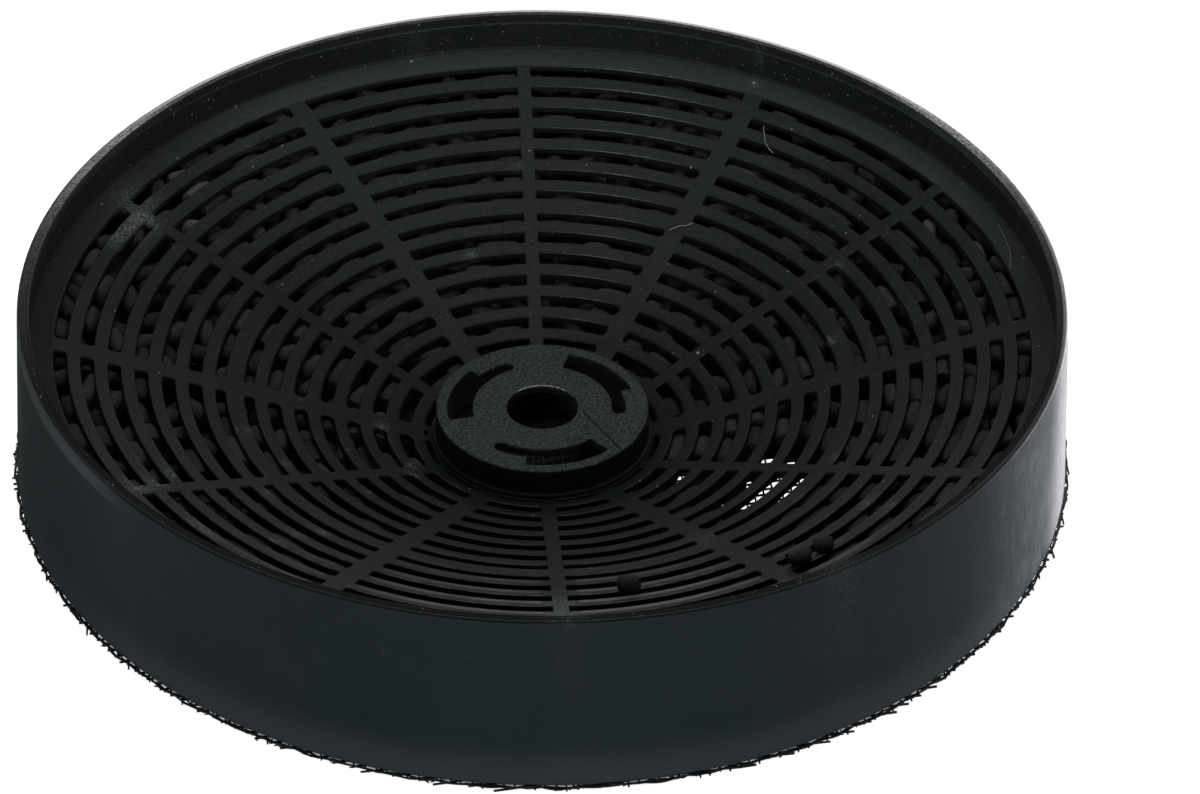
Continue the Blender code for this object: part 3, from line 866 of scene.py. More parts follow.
def knitGroove(body, top):
    # narrow groove where the melt met, from the bore to the hub's edge
    start, end = Vector(knitLine["start"]), Vector(knitLine["end"])
    across = Vector((start.y - end.y, end.x - start.x)).normalized()
    narrow, wide = knitLine["width"]
    outline = []
    for sign, shares in ((-0.5, spread(0.0, 1.0, 9)), (0.5, spread(1.0, 0.0, 9))):
        for share in shares:
            width = narrow + (wide - narrow) * share
            outline.append(start.lerp(end, share) + across * sign * width)
    rimLoop = body.loop([(p.x, p.y, top) for p in outline])
    bottom = [p.lerp(outline[-1 - i], 0.4) for i, p in enumerate(outline)]
    bottomLoop = body.loop([(p.x, p.y, top - knitLine["depth"]) for p in bottom])
    body.band(rimLoop, bottomLoop)
    body.fill(bottomLoop)
    return rimLoop


def buildHub(body, topRing, underRing):
    radius, top = housing["hubRadius"], housing["hubTopZ"]
    collarTop = grilleTop(housing["collar"]) + housing["collarHeight"]
    outside = [(housing["collar"] - 0.02, collarTop - 0.2), (housing["collar"] - 0.1, collarTop)]
    outside += [(radius + 0.25, collarTop), (radius + 0.04, collarTop + 0.2)]
    outside += [(radius, collarTop + 0.6), (radius, top - 1.5)]
    outside += quarter((radius - 0.45, top - 0.45), 0.45, 0, 90, 4)
    discEdge = lathe(body, topRing, outside)
    chamber = radius - housing["hubWall"]
    foot = housing["footZ"]
    discUnder = top - housing["hubDisc"]
    inside = [(radius + 0.1, grilleUnder(radius) - 0.1), (radius, foot + 0.15)]
    inside += [(radius - 0.15, foot), (chamber + 0.15, foot), (chamber, foot + 0.15)]
    inside += [(chamber, discUnder - 0.3), (chamber - 0.3, discUnder)]
    underEdge = lathe(body, underRing, inside)
    tops, unders = [], []
    bore = [Vector(polar(housing["boreRadius"], 2 * math.pi * i / 72)[:2]) for i in range(72)]
    for outline in [bore] + [keyholeOutline(turned) for turned in (0, 120, 240)]:
        high, low = cutThrough(body, outline, top, discUnder, 0.22)
        tops.append(high)
        unders.append(low)
    # painted glints on the bore's far edge
    for i, (px, py, pz) in enumerate(body.points):
        if py > 5.6 and math.hypot(px, py) < housing["boreRadius"] + 0.2 and pz > top - 0.2:
            body.paint("edge", [i], 1.6)
    tops.append(knitGroove(body, top))
    body.fill(discEdge, *tops)
    body.fill(underEdge, *unders)


def makeHousing():
    body = Body()
    topWall, topHub, underWall, underHub = buildGrille(body)
    lathe(body, topWall, wallSection(), underWall)
    buildHub(body, topHub, underHub)
    paintScuffsAndGlints(body)
    piece = body.piece("housing_moulding", plastic)
    even = piece.modifiers.new("even shading", "WEIGHTED_NORMAL")
    even.keep_sharp = True
    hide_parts("housing")


makeHousing()


# Net: two families of welded threads and the fringe that shows under the wall

net = {
    "pitch": 1.95,
    "thread": 0.25,      # half a thread's thickness
    "turns": (9.0, 93.0),
    "levels": (0.25, 0.52),
    "reach": 107.0,
    "ragged": 1.1,
    "step": 3.0,
    "wave": 0.16,        # of each thread round the welds, and the slow drift of a family
    "drift": 0.5,
    "top": 0.85,
}

# Threads that run round under the foot, in so many turns and steps, and the cut ends between
fringe = {
    "radius": 106.8,
    "turns": 3,
    "steps": 540,
    "ends": 420,
    "starts": (106.4, 106.9),
    "lengths": (0.2, 0.85),
    "thread": 0.2,
}


def crossLoop(body, point, ahead, radius, turns):
    # points round one place of a thread
    side = ahead.cross(Vector((0, 0, 1))).normalized()
    lift = side.cross(ahead).normalized()
    return body.loop([point + radius * (math.cos(t) * side + math.sin(t) * lift) for t in turns])


def tube(body, path, radii, sides):
    # closed tube along a list of points
    turns = [2 * math.pi * (k + 0.5) / sides for k in range(sides)]
    rings = []
    for i, point in enumerate(path):
        ahead = path[min(i + 1, len(path) - 1)] - path[max(i - 1, 0)]
        rings.append(crossLoop(body, point, ahead, radii[i], turns))
    body.bands(rings)
    body.faces.append(tuple(rings[0]))
    body.faces.append(tuple(rings[-1]))


def makeNet():
    rng = random.Random(4)
    for family, (turn, level) in enumerate(zip(net["turns"], net["levels"])):
        body = Body()
        along = Vector((math.cos(math.radians(turn)), math.sin(math.radians(turn)), 0))
        across = Vector((-along.y, along.x, 0))
        count = int(net["reach"] / net["pitch"])
        for line in range(-count, count + 1):
            offset = line * net["pitch"]
            phase = rng.uniform(0, 6.3)
            ends = []
            for sign in (-1, 1):
                reach = net["reach"] + net["ragged"] * rng.random() ** 2
                ends.append(sign * math.sqrt(max(reach ** 2 - offset ** 2, 4.0)))
            steps = max(3, int((ends[1] - ends[0]) / net["step"]))
            path, radii = [], []
            for s in spread(ends[0], ends[1], steps + 1):
                sway = net["wave"] * math.sin(s * 0.21 + phase)
                sway += net["drift"] * math.sin(s * 0.018 + 0.02 * offset + family)
                lift = level + 0.03 * math.sin(s * 0.9 + phase)
                path.append(along * s + across * (offset + sway) + Vector((0, 0, lift)))
                radii.append(net["thread"] * rng.uniform(0.85, 1.1))
            tube(body, path, radii, 4)
        piece = body.piece(f"net_threads_{'ab'[family]}", thread, 80)
        if family == 0:
            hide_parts("net")


def addRound(body, rng, turn):
    # one loose thread that runs all the way round
    phase = rng.uniform(0, 6.3)
    path = []
    for i in range(fringe["steps"]):
        angle = 2 * math.pi * i / fringe["steps"]
        radius = fringe["radius"] + 0.22 * turn + 0.16 * math.sin(angle * 97 + phase)
        radius += 0.14 * math.sin(angle * 41 + 2 * phase) + rng.uniform(-0.1, 0.1)
        z = 0.36 + 0.1 * turn + 0.14 * math.sin(angle * 71 + phase) + rng.uniform(-0.05, 0.05)
        path.append(Vector(polar(radius, angle, z)))
    rings = []
    for i, point in enumerate(path):
        ahead = path[(i + 1) % len(path)] - path[i - 1]
        thick = fringe["thread"] * rng.uniform(0.8, 1.2)
        rings.append(crossLoop(body, point, ahead, thick, (0.8, 2.4, 3.9, 5.5)))
    body.bands(rings[-1:] + rings)


def addCutEnd(body, rng):
    # one cut thread that sticks out, bent and fallen towards the ground
    angle = rng.uniform(0, 2 * math.pi)
    start = rng.uniform(*fringe["starts"])
    length = rng.uniform(*fringe["lengths"]) + (rng.random() < 0.06) * 0.4
    lean = rng.uniform(-1.2, 1.2) / 107
    z = rng.uniform(0.25, 0.7)
    path, radii = [], []
    for share in (0, 0.35, 0.7, 1.0):
        bend = lean * share * share
        fallen = z + (0.25 - z) * share * rng.uniform(0.3, 1.0)
        path.append(Vector(polar(start + length * share, angle + bend, fallen)))
        radii.append(fringe["thread"] * (1 - 0.35 * share))
    tube(body, path, radii, 5)


def makeFringe():
    rng = random.Random(9)
    body = Body()
    for turn in range(fringe["turns"]):
        addRound(body, rng, turn)
    for _ in range(fringe["ends"]):
        addCutEnd(body, rng)
    piece = body.piece("net_fringe", thread, 80)


makeNet()
makeFringe()


# Carbon: pellets laid one by one against the grille, then deeper ones, then the heap's middle

carbon = {
    "radius": 2.0,
    "lengths": (5.0, 9.0),
    "seat": 0.08,
    "end": 1.2,             # from the end of a pellet's middle line to its tip
    "border": 2.6,          # how far a pellet's end may reach past the radii given
    "reach": (11, 14),      # how far away neighbours still count, inwards and sideways
    "floorTries": 7000,
}

# Layers under the grille: tries, radii, least depths, greatest depth, share along the slots
layers = [
    (6000, (29.0, 100.6), (0.0, 0.5), 1.6, 0.5),
    (6000, (29.0, 100.6), (0.4, 1.6), 3.2, 0.0),
    (7000, (33.0, 100.6), (2.4, 5.4), 7.6, 0.0),
    (3500, (46.0, 74.0), (7.6, 12.0), 12.5, 0.0),
]

# Pellets that stand out under or in the slots: angle, radius
shownPellets = [
    (10.4, 96.6), (18.5, 96.2), (25.4, 96.2), (37.5, 96.0), (51.5, 95.8), (43.9, 92.4),
    (26.2, 91.6), (20.0, 91.4), (15.8, 90.9), (2.7, 91.2), (35.4, 89.9), (54.2, 90.8),
    (5.8, 86.3), (41.9, 85.3), (34.2, 85.0), (23.5, 80.3), (18.0, 75.8), (3.5, 76.2),
    (51.2, 74.8), (56.2, 71.6), (75.0, 96.0), (82.7, 96.0), (87.3, 96.0), (73.8, 90.3),
    (78.5, 90.5), (85.8, 91.0), (98.1, 91.6), (105.8, 91.5), (110.0, 91.5), (116.5, 91.5),
    (95.5, 85.7), (78.8, 85.5), (107.7, 86.0), (73.5, 80.2), (111.2, 80.9), (70.8, 74.7),
    (71.9, 68.7), (100.0, 96.6), (105.4, 96.3), (133.8, 87.2), (139.6, 87.8), (145.0, 86.6),
    (128.0, 86.2), (139.6, 97.0), (143.8, 97.0), (139.6, 92.2), (147.3, 92.0), (138.0, 81.2),
    (143.8, 81.0), (134.2, 81.0), (145.0, 75.8), (138.8, 75.5), (135.0, 75.3), (131.5, 75.3),
    (132.3, 70.2), (125.0, 69.7), (129.6, 65.0), (140.0, 54.3), (138.8, 48.7), (105.0, 39.0),
    (130.4, 43.4), (155.8, 97.0), (152.0, 93.5), (170.0, 97.8), (175.0, 97.8), (164.0, 92.8),
    (171.0, 92.8), (157.7, 87.0), (164.0, 87.0), (174.0, 86.6), (166.5, 81.6), (172.0, 81.6),
    (158.8, 76.2), (166.9, 76.2), (176.9, 75.8), (155.4, 70.5), (164.6, 70.7), (170.0, 70.7),
    (165.8, 65.5), (174.6, 65.6), (166.9, 59.9), (172.3, 59.7), (160.0, 54.8), (160.8, 49.5),
    (164.6, 38.5), (184.0, 96.3), (190.0, 96.0), (196.0, 91.5), (186.0, 91.8), (187.0, 86.7),
    (194.0, 81.5), (183.5, 81.5), (189.0, 76.3), (196.0, 71.0), (185.5, 71.0), (-6.0, 96.3),
    (-11.0, 92.0), (-4.5, 86.7), (-9.0, 81.5), (-6.0, 71.0), (192.0, 54.5), (217.7, 49.1),
    (9.6, 55.1), (17.7, 54.1), (38.8, 54.1), (9.6, 49.8), (16.0, 49.9), (21.0, 49.7),
    (44.6, 49.0), (12.7, 44.5), (18.0, 38.9), (45.0, 38.3), (311.9, 76.6),
]

# Those of them that lie along their slot
alongSlot = {
    (10.4, 96.6), (37.5, 96.0), (18.0, 75.8), (75.0, 96.0), (85.8, 91.0), (105.8, 91.5),
    (78.8, 85.5), (145.0, 75.8), (140.0, 54.3), (186.0, 91.8),
}

# Pellets that are paler than the rest: angle, radius
palePellets = [
    (41.0, 92.5), (25.5, 91.6), (17.0, 96.0), (143.9, 86.6), (139.6, 92.2), (139.6, 97.0),
]

# Bare places in the heap, where the white ground shows through the net: each runs from one
# point on the ground to another, with half its width
barePlaces = [
    ((39.5, -23.4), (43.2, -19.3), 0.75), ((43.2, -19.3), (48.0, -13.9), 1.1),
    ((36.2, -26.3), (36.8, -25.7), 0.4), ((47.6, -20.3), (52.9, -13.5), 0.7),
    ((45.2, -7.3), (47.6, -6.9), 0.75), ((49.8, -7.8), (51.7, -7.9), 0.75),
    ((27.3, -13.4), (27.9, -11.9), 0.6), ((33.1, -12.2), (33.5, -12.2), 0.4),
    ((41.5, -15.6), (41.6, -14.5), 0.7), ((35.7, -21.6), (36.0, -21.5), 0.4),
    ((24.2, 9.9), (24.4, 10.0), 0.35),
]
sightRise = math.radians(36.4)
sightSteps = spread(0.0, 26.0, 14)     # along a line of sight, from the ground to above the grille


def segmentGap(centre, direction, half, centres, directions, halves):
    # distance from one flat segment to many
    def toSegments(points, mids, ways, reach):
        offset = points - mids
        along = np.clip((offset * ways).sum(1), -reach, reach)
        return np.linalg.norm(offset - along[:, None] * ways, axis=1)

    gap = np.full(len(centres), 1e9)
    for sign in (-1.0, 1.0):
        tip = centre + sign * half * direction
        tips = centres + sign * halves[:, None] * directions
        gap = np.minimum(gap, toSegments(tip, centres, directions, halves))
        gap = np.minimum(gap, toSegments(tips, centre, direction, half))
    cross = direction[0] * directions[:, 1] - direction[1] * directions[:, 0]
    cross = np.where(np.abs(cross) < 1e-6, 1e-6, cross)
    offset = centres - centre
    first = (offset[:, 0] * directions[:, 1] - offset[:, 1] * directions[:, 0]) / cross
    second = (offset[:, 0] * direction[1] - offset[:, 1] * direction[0]) / cross
    crossing = (np.abs(first) < half) & (np.abs(second) < halves)
    return np.where(crossing, 0.0, gap)


slotMiddles = [(outer + inner) / 2 for outer, inner in slotRows()]


class Heap:
    # pellets laid against a cone (or the flat net), each at the least depth that is free, and
    # no deeper than the room at its radius; height is that of a pellet's middle
    def __init__(self, slope, room, height):
        self.slope = slope
        self.cosine = math.cos(slope)
        self.room = room
        self.height = height
        self.rows = np.zeros((6000, 5))     # slant radius, angle, heading, half length, depth
        self.count = 0

    def freeDepth(self, radius, angle, heading, half, least):
        rows = self.rows[:self.count]
        turn = (rows[:, 1] - angle + math.pi) % (2 * math.pi) - math.pi
        slant = radius / self.cosine
        inwards, sideways = carbon["reach"]
        near = (np.abs(rows[:, 0] - slant) < inwards) & (np.abs(turn) * slant < sideways)
        rows, turn = rows[near], turn[near] * self.cosine
        centres = np.stack((rows[:, 0] * np.cos(turn) - slant, rows[:, 0] * np.sin(turn)), 1)
        headings = rows[:, 2] + turn
        directions = np.stack((np.cos(headings), np.sin(headings)), 1)
        direction = np.array((math.cos(heading), math.sin(heading)))
        gap = segmentGap(np.zeros(2), direction, half, centres, directions, rows[:, 3])
        width = 2 * carbon["radius"]
        reach = np.sqrt(np.maximum(width ** 2 - gap ** 2, 0.0))
        low, high = rows[:, 4] - reach, rows[:, 4] + reach
        depth = least
        for _ in range(12):
            blocked = (gap < width) & (low < depth - 1e-6) & (depth < high - 1e-6)
            if not blocked.any():
                return depth
            depth = float(high[blocked].max())
        return 1e9

    def add(self, radius, angle, heading, half, depth):
        self.rows[self.count] = (radius / self.cosine, angle, heading, half, depth)
        self.count += 1

    def scatter(self, rng, tries, radii, least, most, inSlots=0.0):
        for _ in range(tries):
            radius = math.sqrt(rng.uniform(radii[0] ** 2, radii[1] ** 2))
            angle = rng.uniform(0, 2 * math.pi)
            heading = rng.uniform(0, math.pi)
            half = rng.uniform(*carbon["lengths"]) / 2 - carbon["end"]
            if rng.random() < inSlots:
                # along a slot, and sunk into it a little
                radius = min(slotMiddles, key=lambda middle: abs(middle - radius))
                heading = math.pi / 2 + rng.uniform(-0.1, 0.1)
                depth = self.freeDepth(radius, angle, heading, half, -0.4)
                if depth < 0.6:
                    self.add(radius, angle, heading, half, depth)
                continue
            roomOut = radii[1] + carbon["border"] - radius - half * abs(math.cos(heading))
            roomIn = radius - radii[0] + carbon["border"] - half * abs(math.cos(heading))
            if min(roomOut, roomIn) < carbon["radius"]:
                continue
            depth = self.freeDepth(radius, angle, heading, half, rng.uniform(*least))
            if depth <= min(most, self.room(radius)):
                self.add(radius, angle, heading, half, depth)


def coneDepthLimit(radius):
    # how far below the sheet a pellet's middle can lie before it meets the net
    room = (grilleUnder(radius) - net["top"]) * math.cos(dish)
    return room - 2 * carbon["radius"]


def underCone(radius, depth):
    return grilleUnder(radius) - (carbon["radius"] + depth) / math.cos(dish)


def overNet(radius, depth):
    return net["top"] + carbon["radius"] + depth


def fillHeap():
    rng = random.Random(31)
    heap = Heap(dish, coneDepthLimit, underCone)
    for angle, radius in shownPellets:
        along = (angle, radius) in alongSlot
        half = rng.uniform(2.2, 3.0) if along else rng.uniform(1.2, 2.2)
        wanted = 90 if along else rng.uniform(25, 155)
        best = None
        for shift in (0, 20, -20, 45, -45, 70):
            heading = math.radians(wanted + shift)
            least = -0.35 if along else 0.0
            depth = heap.freeDepth(radius, math.radians(angle), heading, half, least)
            if best is None or depth < best[0] - 0.2:
                best = (depth, heading)
        if best[0] < min(2.5, coneDepthLimit(radius)):
            heap.add(radius, math.radians(angle), best[1], half, best[0])
    starts = []
    for layer in layers:
        starts.append(heap.count)
        heap.scatter(rng, *layer)
    print("pellets under the grille:", heap.count)
    return heap, starts[2]


def pelletShape(rng, length, fine):
    # a short rod, broken at both ends, with its axis along Z
    sides, rings = (10, 4) if fine else (8, 2)
    radius = carbon["radius"] - carbon["seat"]
    slants = [(rng.uniform(-0.25, 0.25), rng.uniform(-0.25, 0.25)) for _ in range(2)]
    bowX, bowY = rng.uniform(-0.12, 0.12), rng.uniform(-0.12, 0.12)
    lumps = [rng.uniform(-0.05, 0.05) for _ in range(sides)]
    points, faces = [], []

    def at(share, side, wide, lean):
        turn = 2 * math.pi * side / sides
        x, y = wide * math.cos(turn), wide * math.sin(turn)
        slant = slants[0] if share < 0.5 else slants[1]
        return x, y, (share - 0.5) * length + (slant[0] * x + slant[1] * y) * lean

    def join(first, second):
        for side in range(sides):
            after = (side + 1) % sides
            faces.append((first + side, first + after, second + after, second + side))

    for ring in range(rings + 1):
        share = ring / rings
        end = ring in (0, rings)
        bow = 4 * share * (1 - share)
        for side in range(sides):
            wide = radius * (1 + lumps[side] + (rng.uniform(-0.03, 0.03) if fine else 0))
            x, y, z = at(share, side, wide * (0.86 if end else 1), abs(2 * share - 1))
            if end and fine:
                z += rng.uniform(-0.18, 0.18)
            points.append((x + bowX * bow, y + bowY * bow, z))
    for ring in range(rings):
        join(ring * sides, (ring + 1) * sides)
    for share, base in ((0, 0), (1, rings * sides)):
        if fine:
            inner = len(points)
            for side in range(sides):
                x, y, z = at(share, side, radius * rng.uniform(0.35, 0.6), 1)
                points.append((x, y, z + (2 * share - 1) * rng.uniform(0.05, 0.45)))
            join(base, inner)
            base = inner
        faces.append(tuple(range(base, base + sides)))
    return points, faces


def placePellet(points, radius, angle, heading, z, slope):
    # from the pellet's own axes to its place against a cone
    outwards = Vector((math.cos(slope), 0, math.sin(slope)))
    up = Vector((-math.sin(slope), 0, math.cos(slope)))
    along = math.cos(heading) * outwards + math.sin(heading) * Vector((0, 1, 0))
    across = up.cross(along)
    turned = Matrix((across, up, along)).transposed().to_4x4()
    place = Matrix.Rotation(angle, 4, "Z") @ Matrix.Translation((radius, 0, z)) @ turned
    return [place @ Vector(p) for p in points]


def inSight(centre, along, half):
    # whether a pellet would stand in one of the sight lines to the bare places
    turn = Matrix.Rotation(math.radians(viewpoint["turn"]), 3, "Z")
    ray = turn @ Vector((0, -math.cos(sightRise), math.sin(sightRise)))
    for first, last, width in barePlaces:
        for share in (0.0, 0.5, 1.0):
            ground = Vector((*first, 0)).lerp(Vector((*last, 0)), share)
            for step in sightSteps:
                offset = ground + ray * step - centre
                reach = max(-half, min(half, offset.dot(along)))
                if (offset - along * reach).length < carbon["radius"] + width * 0.6:
                    return True
    return False


def pelletPiece(name, heap, first, last, fine, rng):
    # some of a heap's pellets as one piece, apart from those in the sight lines
    body = Body()
    tones = 0.4 * np.random.default_rng(last).random(len(heap.rows)) ** 1.6
    for angle, at in palePellets:
        beyond = heap.rows[:, 0] * heap.cosine - at
        aside = at * (heap.rows[:, 1] - math.radians(angle))
        tones[np.hypot(beyond, aside) < 3.0] = 0.9
    for index, (slant, angle, heading, half, depth) in enumerate(heap.rows[first:last], first):
        radius = slant * heap.cosine
        z = heap.height(radius, depth)
        points, faces = pelletShape(rng, 2 * half + 2 * carbon["end"], fine)
        placed = placePellet(points, radius, angle, heading, z, heap.slope)
        centre = Vector(polar(radius, angle, z))
        outwards = math.cos(heading)
        along = (outwards * heap.cosine, math.sin(heading), outwards * math.sin(heap.slope))
        along = Matrix.Rotation(angle, 3, "Z") @ Vector(along)
        if inSight(centre, along, half):
            continue
        start = len(body.points)
        body.points += [tuple(p) for p in placed]
        body.paint("tone", range(start, len(body.points)), float(tones[index]))
        body.faces += [tuple(start + i for i in face) for face in faces]
    return body.piece(name, carbonSkin, 60)


def makeCarbon():
    rng = random.Random(77)
    heap, second = fillHeap()
    held = sorted(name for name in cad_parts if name.startswith("carbon_pellet"))
    piece = pelletPiece("carbon_top_layer", heap, 0, second, True, rng)
    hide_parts(*held)

    piece = pelletPiece("carbon_second_layer", heap, second, heap.count, False, rng)
    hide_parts("carbon_bed")

    lower = Heap(0.0, lambda radius: math.inf, overNet)
    lower.scatter(rng, carbon["floorTries"], (72.0, 102.0), (0.0, 0.8), 2.2)
    piece = pelletPiece("carbon_lower_layer", lower, 0, lower.count, False, rng)


# Rings of the heap's middle: radius and height from the sheet above, then radius at the foot
heapTop = [(80.0, -8.5), (86.0, -8.0), (92.0, -8.0), (98.0, -8.0), (102.4, -8.0)]
heapFoot = [102.2, 94.0, 86.0, 78.0]
heapSides = 96


def makeHeapMiddle():
    # the dense middle of the heap, between the upper and the lower pellets
    rng = random.Random(12)
    body = Body()
    plan = [(74.0, 6.5, -1.2)]
    for radius, drop in heapTop:
        plan.append((radius, grilleUnder(radius) + drop / math.cos(dish), -1.2))
    plan += [(radius, 5.4, 0.6) for radius in heapFoot]
    rings = []
    for radius, z, rough in plan:
        turns = [2 * math.pi * i / heapSides for i in range(heapSides)]
        rings.append(body.loop([polar(radius, t, z + rough * rng.random()) for t in turns]))
    body.bands(rings + rings[:1])
    piece = body.piece("carbon_heap", carbonSkin, 20)


# Viewpoint of the photograph, fitted to the rim, the foot, the hub and the rows of slots. It
# looks at the hub's axis at aimHeight; yaw, pitch and roll are small turns of the camera itself

viewpoint = {
    "distance": 1051.2335,
    "elevation": 36.395,
    "aimHeight": 20.8,
    "turn": -2.75,
    "yaw": -0.63408,
    "pitch": -0.36560,
    "roll": 0.49050,
    "lens": 155.89,
}


# Pellets that got out: length, heading, share of a whole pellet's width, and shift along X and Y
strayPellets = {
    "loose_pellet_1": (3.9, 60.0, 0.96, (-0.4, 0.2)),
    "loose_pellet_2": (4.2, 75.0, 0.84, (-0.2, -0.2)),
    "loose_pellet_3": (3.4, 40.0, 0.86, (-1.6, -0.6)),
}


def makeLoosePellets():
    # those that got out and lie on the grille, where the frame has them
    rng = random.Random(3)
    for node, (length, heading, width, shift) in strayPellets.items():
        low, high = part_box(node)
        centre = (low + high) / 2 / mm
        px, py = centre.x + shift[0], centre.y + shift[1]
        radius, angle = math.hypot(px, py), math.atan2(py, px)
        rest = grilleTop(radius) + carbon["radius"] * width * 0.9
        body = Body()
        points, faces = pelletShape(rng, length, True)
        points = [(a * width, b * width, c) for a, b, c in points]
        body.points = placePellet(points, radius, angle, math.radians(heading), rest, dish)
        body.faces = faces
        body.paint("tone", range(len(body.points)), 0.0)
        piece = body.piece(node.replace("loose", "stray"), carbonSkin, 60)
        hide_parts(node)


# Lint and dust that lie on the grille: each a chain of (angle, radius), with half its thickness
hairs = [
    ([(56.5, 91.4), (55.7, 89.6), (54.9, 87.8), (53.7, 86.6), (52.8, 86.0)], 0.06),
    ([(57.7, 63.5), (58.6, 62.4), (59.8, 61.9), (61.2, 60.3)], 0.08),
    ([(19.3, 101.5), (16.5, 100.9), (13.8, 100.2), (11.0, 98.6)], 0.025),
    ([(29.9, 38.2), (29.5, 37.8)], 0.28), ([(103.6, 101.8), (104.0, 101.5)], 0.16),
    ([(63.3, 76.7), (63.1, 76.3)], 0.16), ([(61.0, 101.0), (60.7, 101.2)], 0.15),
]


def makeLint():
    body = Body()
    for chain, thick in hairs:
        path = []
        for angle, radius in chain:
            path.append(Vector(polar(radius, math.radians(angle), grilleTop(radius) + 0.25)))
        tube(body, path, [thick] * len(path), 5)
    piece = body.piece("lint_on_grille", lintSkin, 80)


makeCarbon()
makeHeapMiddle()
makeLoosePellets()
makeLint()


# Camera, lamps, world and floor

def makeCamera():
    e = math.radians(viewpoint["elevation"])
    up, back = (0, math.sin(e), math.cos(e)), (0, -math.cos(e), math.sin(e))
    axes = Matrix(((1, 0, 0), up, back)).transposed()
    for name, axis in (("yaw", "Y"), ("pitch", "X"), ("roll", "Z")):
        axes @= Matrix.Rotation(math.radians(viewpoint[name]), 3, axis)
    turn = Matrix.Rotation(math.radians(viewpoint["turn"]), 3, "Z")
    far = viewpoint["distance"]
    place = turn @ Vector((0, -far * math.cos(e), far * math.sin(e) + viewpoint["aimHeight"])) * mm
    data = bpy.data.cameras.new("camera")
    data.sensor_fit = "HORIZONTAL"
    data.sensor_width = 36.0
    data.lens = viewpoint["lens"]
    data.clip_start, data.clip_end = 0.05, 20.0
    camera = addObject("camera", data)
    camera.matrix_world = Matrix.Translation(place) @ (turn @ axes).to_4x4()
    bpy.context.scene.camera = camera


# Each lamp: where it stands and its size in metres, and its power in watts
lamps = {
    "overhead_soft_box": {"at": (0.05, 0.10, 1.25), "size": (0.9, 1.1), "power": 4.2},
    "back_panel": {"at": (0.10, 1.05, 1.15), "size": (1.0, 0.5), "power": 1.1},
    "right_panel": {"at": (1.30, 0.35, 0.45), "size": (0.8, 0.6), "power": 0.3},
    "right_strip": {"at": (1.10, 0.70, 0.035), "size": (0.8, 0.04), "power": 16.0},
    "low_front": {"at": (0.30, -1.60, 0.34), "size": (2.2, 0.4), "power": 6.0},
    "front_window": {"at": (-0.75, -1.34, 0.48), "size": (0.4, 0.3), "power": 2.4},
}


def makeLamps():
    for name, lamp in lamps.items():
        data = bpy.data.lights.new(name, "AREA")
        data.shape = "RECTANGLE"
        data.size, data.size_y = lamp["size"]
        data.energy = lamp["power"]
        obj = addObject(name, data)
        obj.location = lamp["at"]
        aim = Vector((0, 0, 0.02)) - Vector(lamp["at"])
        obj.rotation_euler = aim.to_track_quat("-Z", "Y").to_euler()


studio = {"horizon": 1.10, "zenith": 0.02, "fadeFrom": 0.10, "fadeTo": 0.45}


def makeWorld():
    # pale round the horizon and darker overhead, and plain white where the camera sees it
    world = bpy.data.worlds.new("studio")
    bpy.context.scene.world = world
    world.use_nodes = True
    nodes = Nodes(world.node_tree)
    place = nodes.node("ShaderNodeTexCoord", output="Generated")
    fade = nodes.node("ShaderNodeMapRange", {}, {
        "Value": nodes.node("ShaderNodeSeparateXYZ", {}, {0: place}, "Z"),
        "From Min": studio["fadeFrom"], "From Max": studio["fadeTo"],
        "To Min": studio["horizon"], "To Max": studio["zenith"],
    })
    inputs = {"Factor": nodes.forCamera(), "A": fade, "B": 1.0}
    background = nodes.tree.nodes["Background"]
    nodes.feed(background.inputs["Color"], (1.0, 1.0, 1.0))
    nodes.feed(background.inputs["Strength"], nodes.node("ShaderNodeMix", {}, inputs, "Result"))


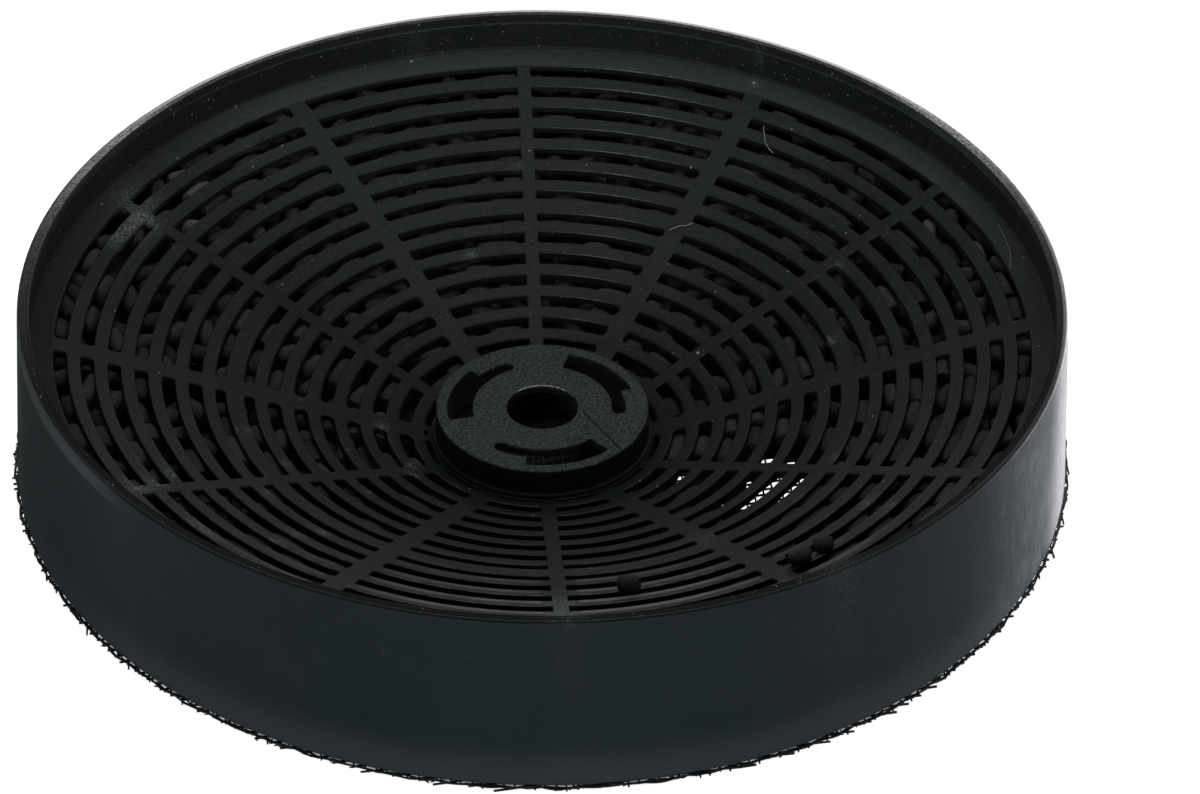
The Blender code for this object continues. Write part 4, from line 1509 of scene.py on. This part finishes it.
def flatPiece(name, outlines, z, material):
    # level faces that belong to the studio
    points, faces = [], []
    for outline in outlines:
        faces.append(tuple(range(len(points), len(points) + len(outline))))
        points += [(x * mm, y * mm, z * mm) for x, y in outline]
    mesh = bpy.data.meshes.new(name)
    mesh.from_pydata(points, [], faces)
    mesh.materials.append(material)
    obj = addObject(name, mesh)


# The floor: half its width, its glow for the camera, and the light let through under the filter
floor = {"half": 2500, "glow": 0.85, "passing": 0.045}


def makeFloor():
    # white round the filter, and painted dark under it for its shade
    finish = Finish("white floor")
    x, y, _ = finish.axes()
    outside = ((x * x + y * y) ** 0.5).step(105.5, 106.8)
    camera = finish.forCamera()
    finish.set(
        Base_Color=finish.blend(outside, (0.020, 0.021, 0.020), (0.8, 0.8, 0.8)),
        Roughness=0.9,
        Specular_IOR_Level=0.0,
    )
    inputs = {"Color": (1.0, 1.0, 1.0), "Strength": camera * outside * floor["glow"]}
    glow = finish.node("ShaderNodeEmission", {}, inputs)
    both = finish.node("ShaderNodeAddShader", {}, {0: finish.closure(), 1: glow})
    finish.clearFromBelow(both, (1 - outside) * (1 - camera) * floor["passing"])
    half = floor["half"]
    corners = [(-half, -half), (half, -half), (half, half), (-half, half)]
    flatPiece("floor", [corners], 0.0, finish.material)


def makeLitGround():
    # white patches of ground under the bare places in the heap, glowing for the camera as painted
    # light
    lit = Finish("white ground under the bare places")
    white = (1.0, 1.0, 1.0)
    lit.set(Base_Color=(0.8, 0.8, 0.8), Emission_Color=white, Emission_Strength=lit.forCamera())
    lit.clearFromBelow(lit.closure())
    outlines = []
    for first, last, width in barePlaces:
        first, last = Vector(first), Vector(last)
        heading = math.atan2(last.y - first.y, last.x - first.x)
        turns = [heading + math.pi / 2 + math.pi * k / 8 for k in range(9)]
        cap = [first + width * Vector((math.cos(t), math.sin(t))) for t in turns]
        cap += [last - width * Vector((math.cos(t), math.sin(t))) for t in turns]
        outlines.append([tuple(p) for p in cap])
    flatPiece("lit_ground", outlines, 0.02, lit.material)


makeCamera()
makeLamps()
makeWorld()
makeFloor()
makeLitGround()
bpy.context.scene.view_settings.view_transform = "Standard"

print("scene ready")
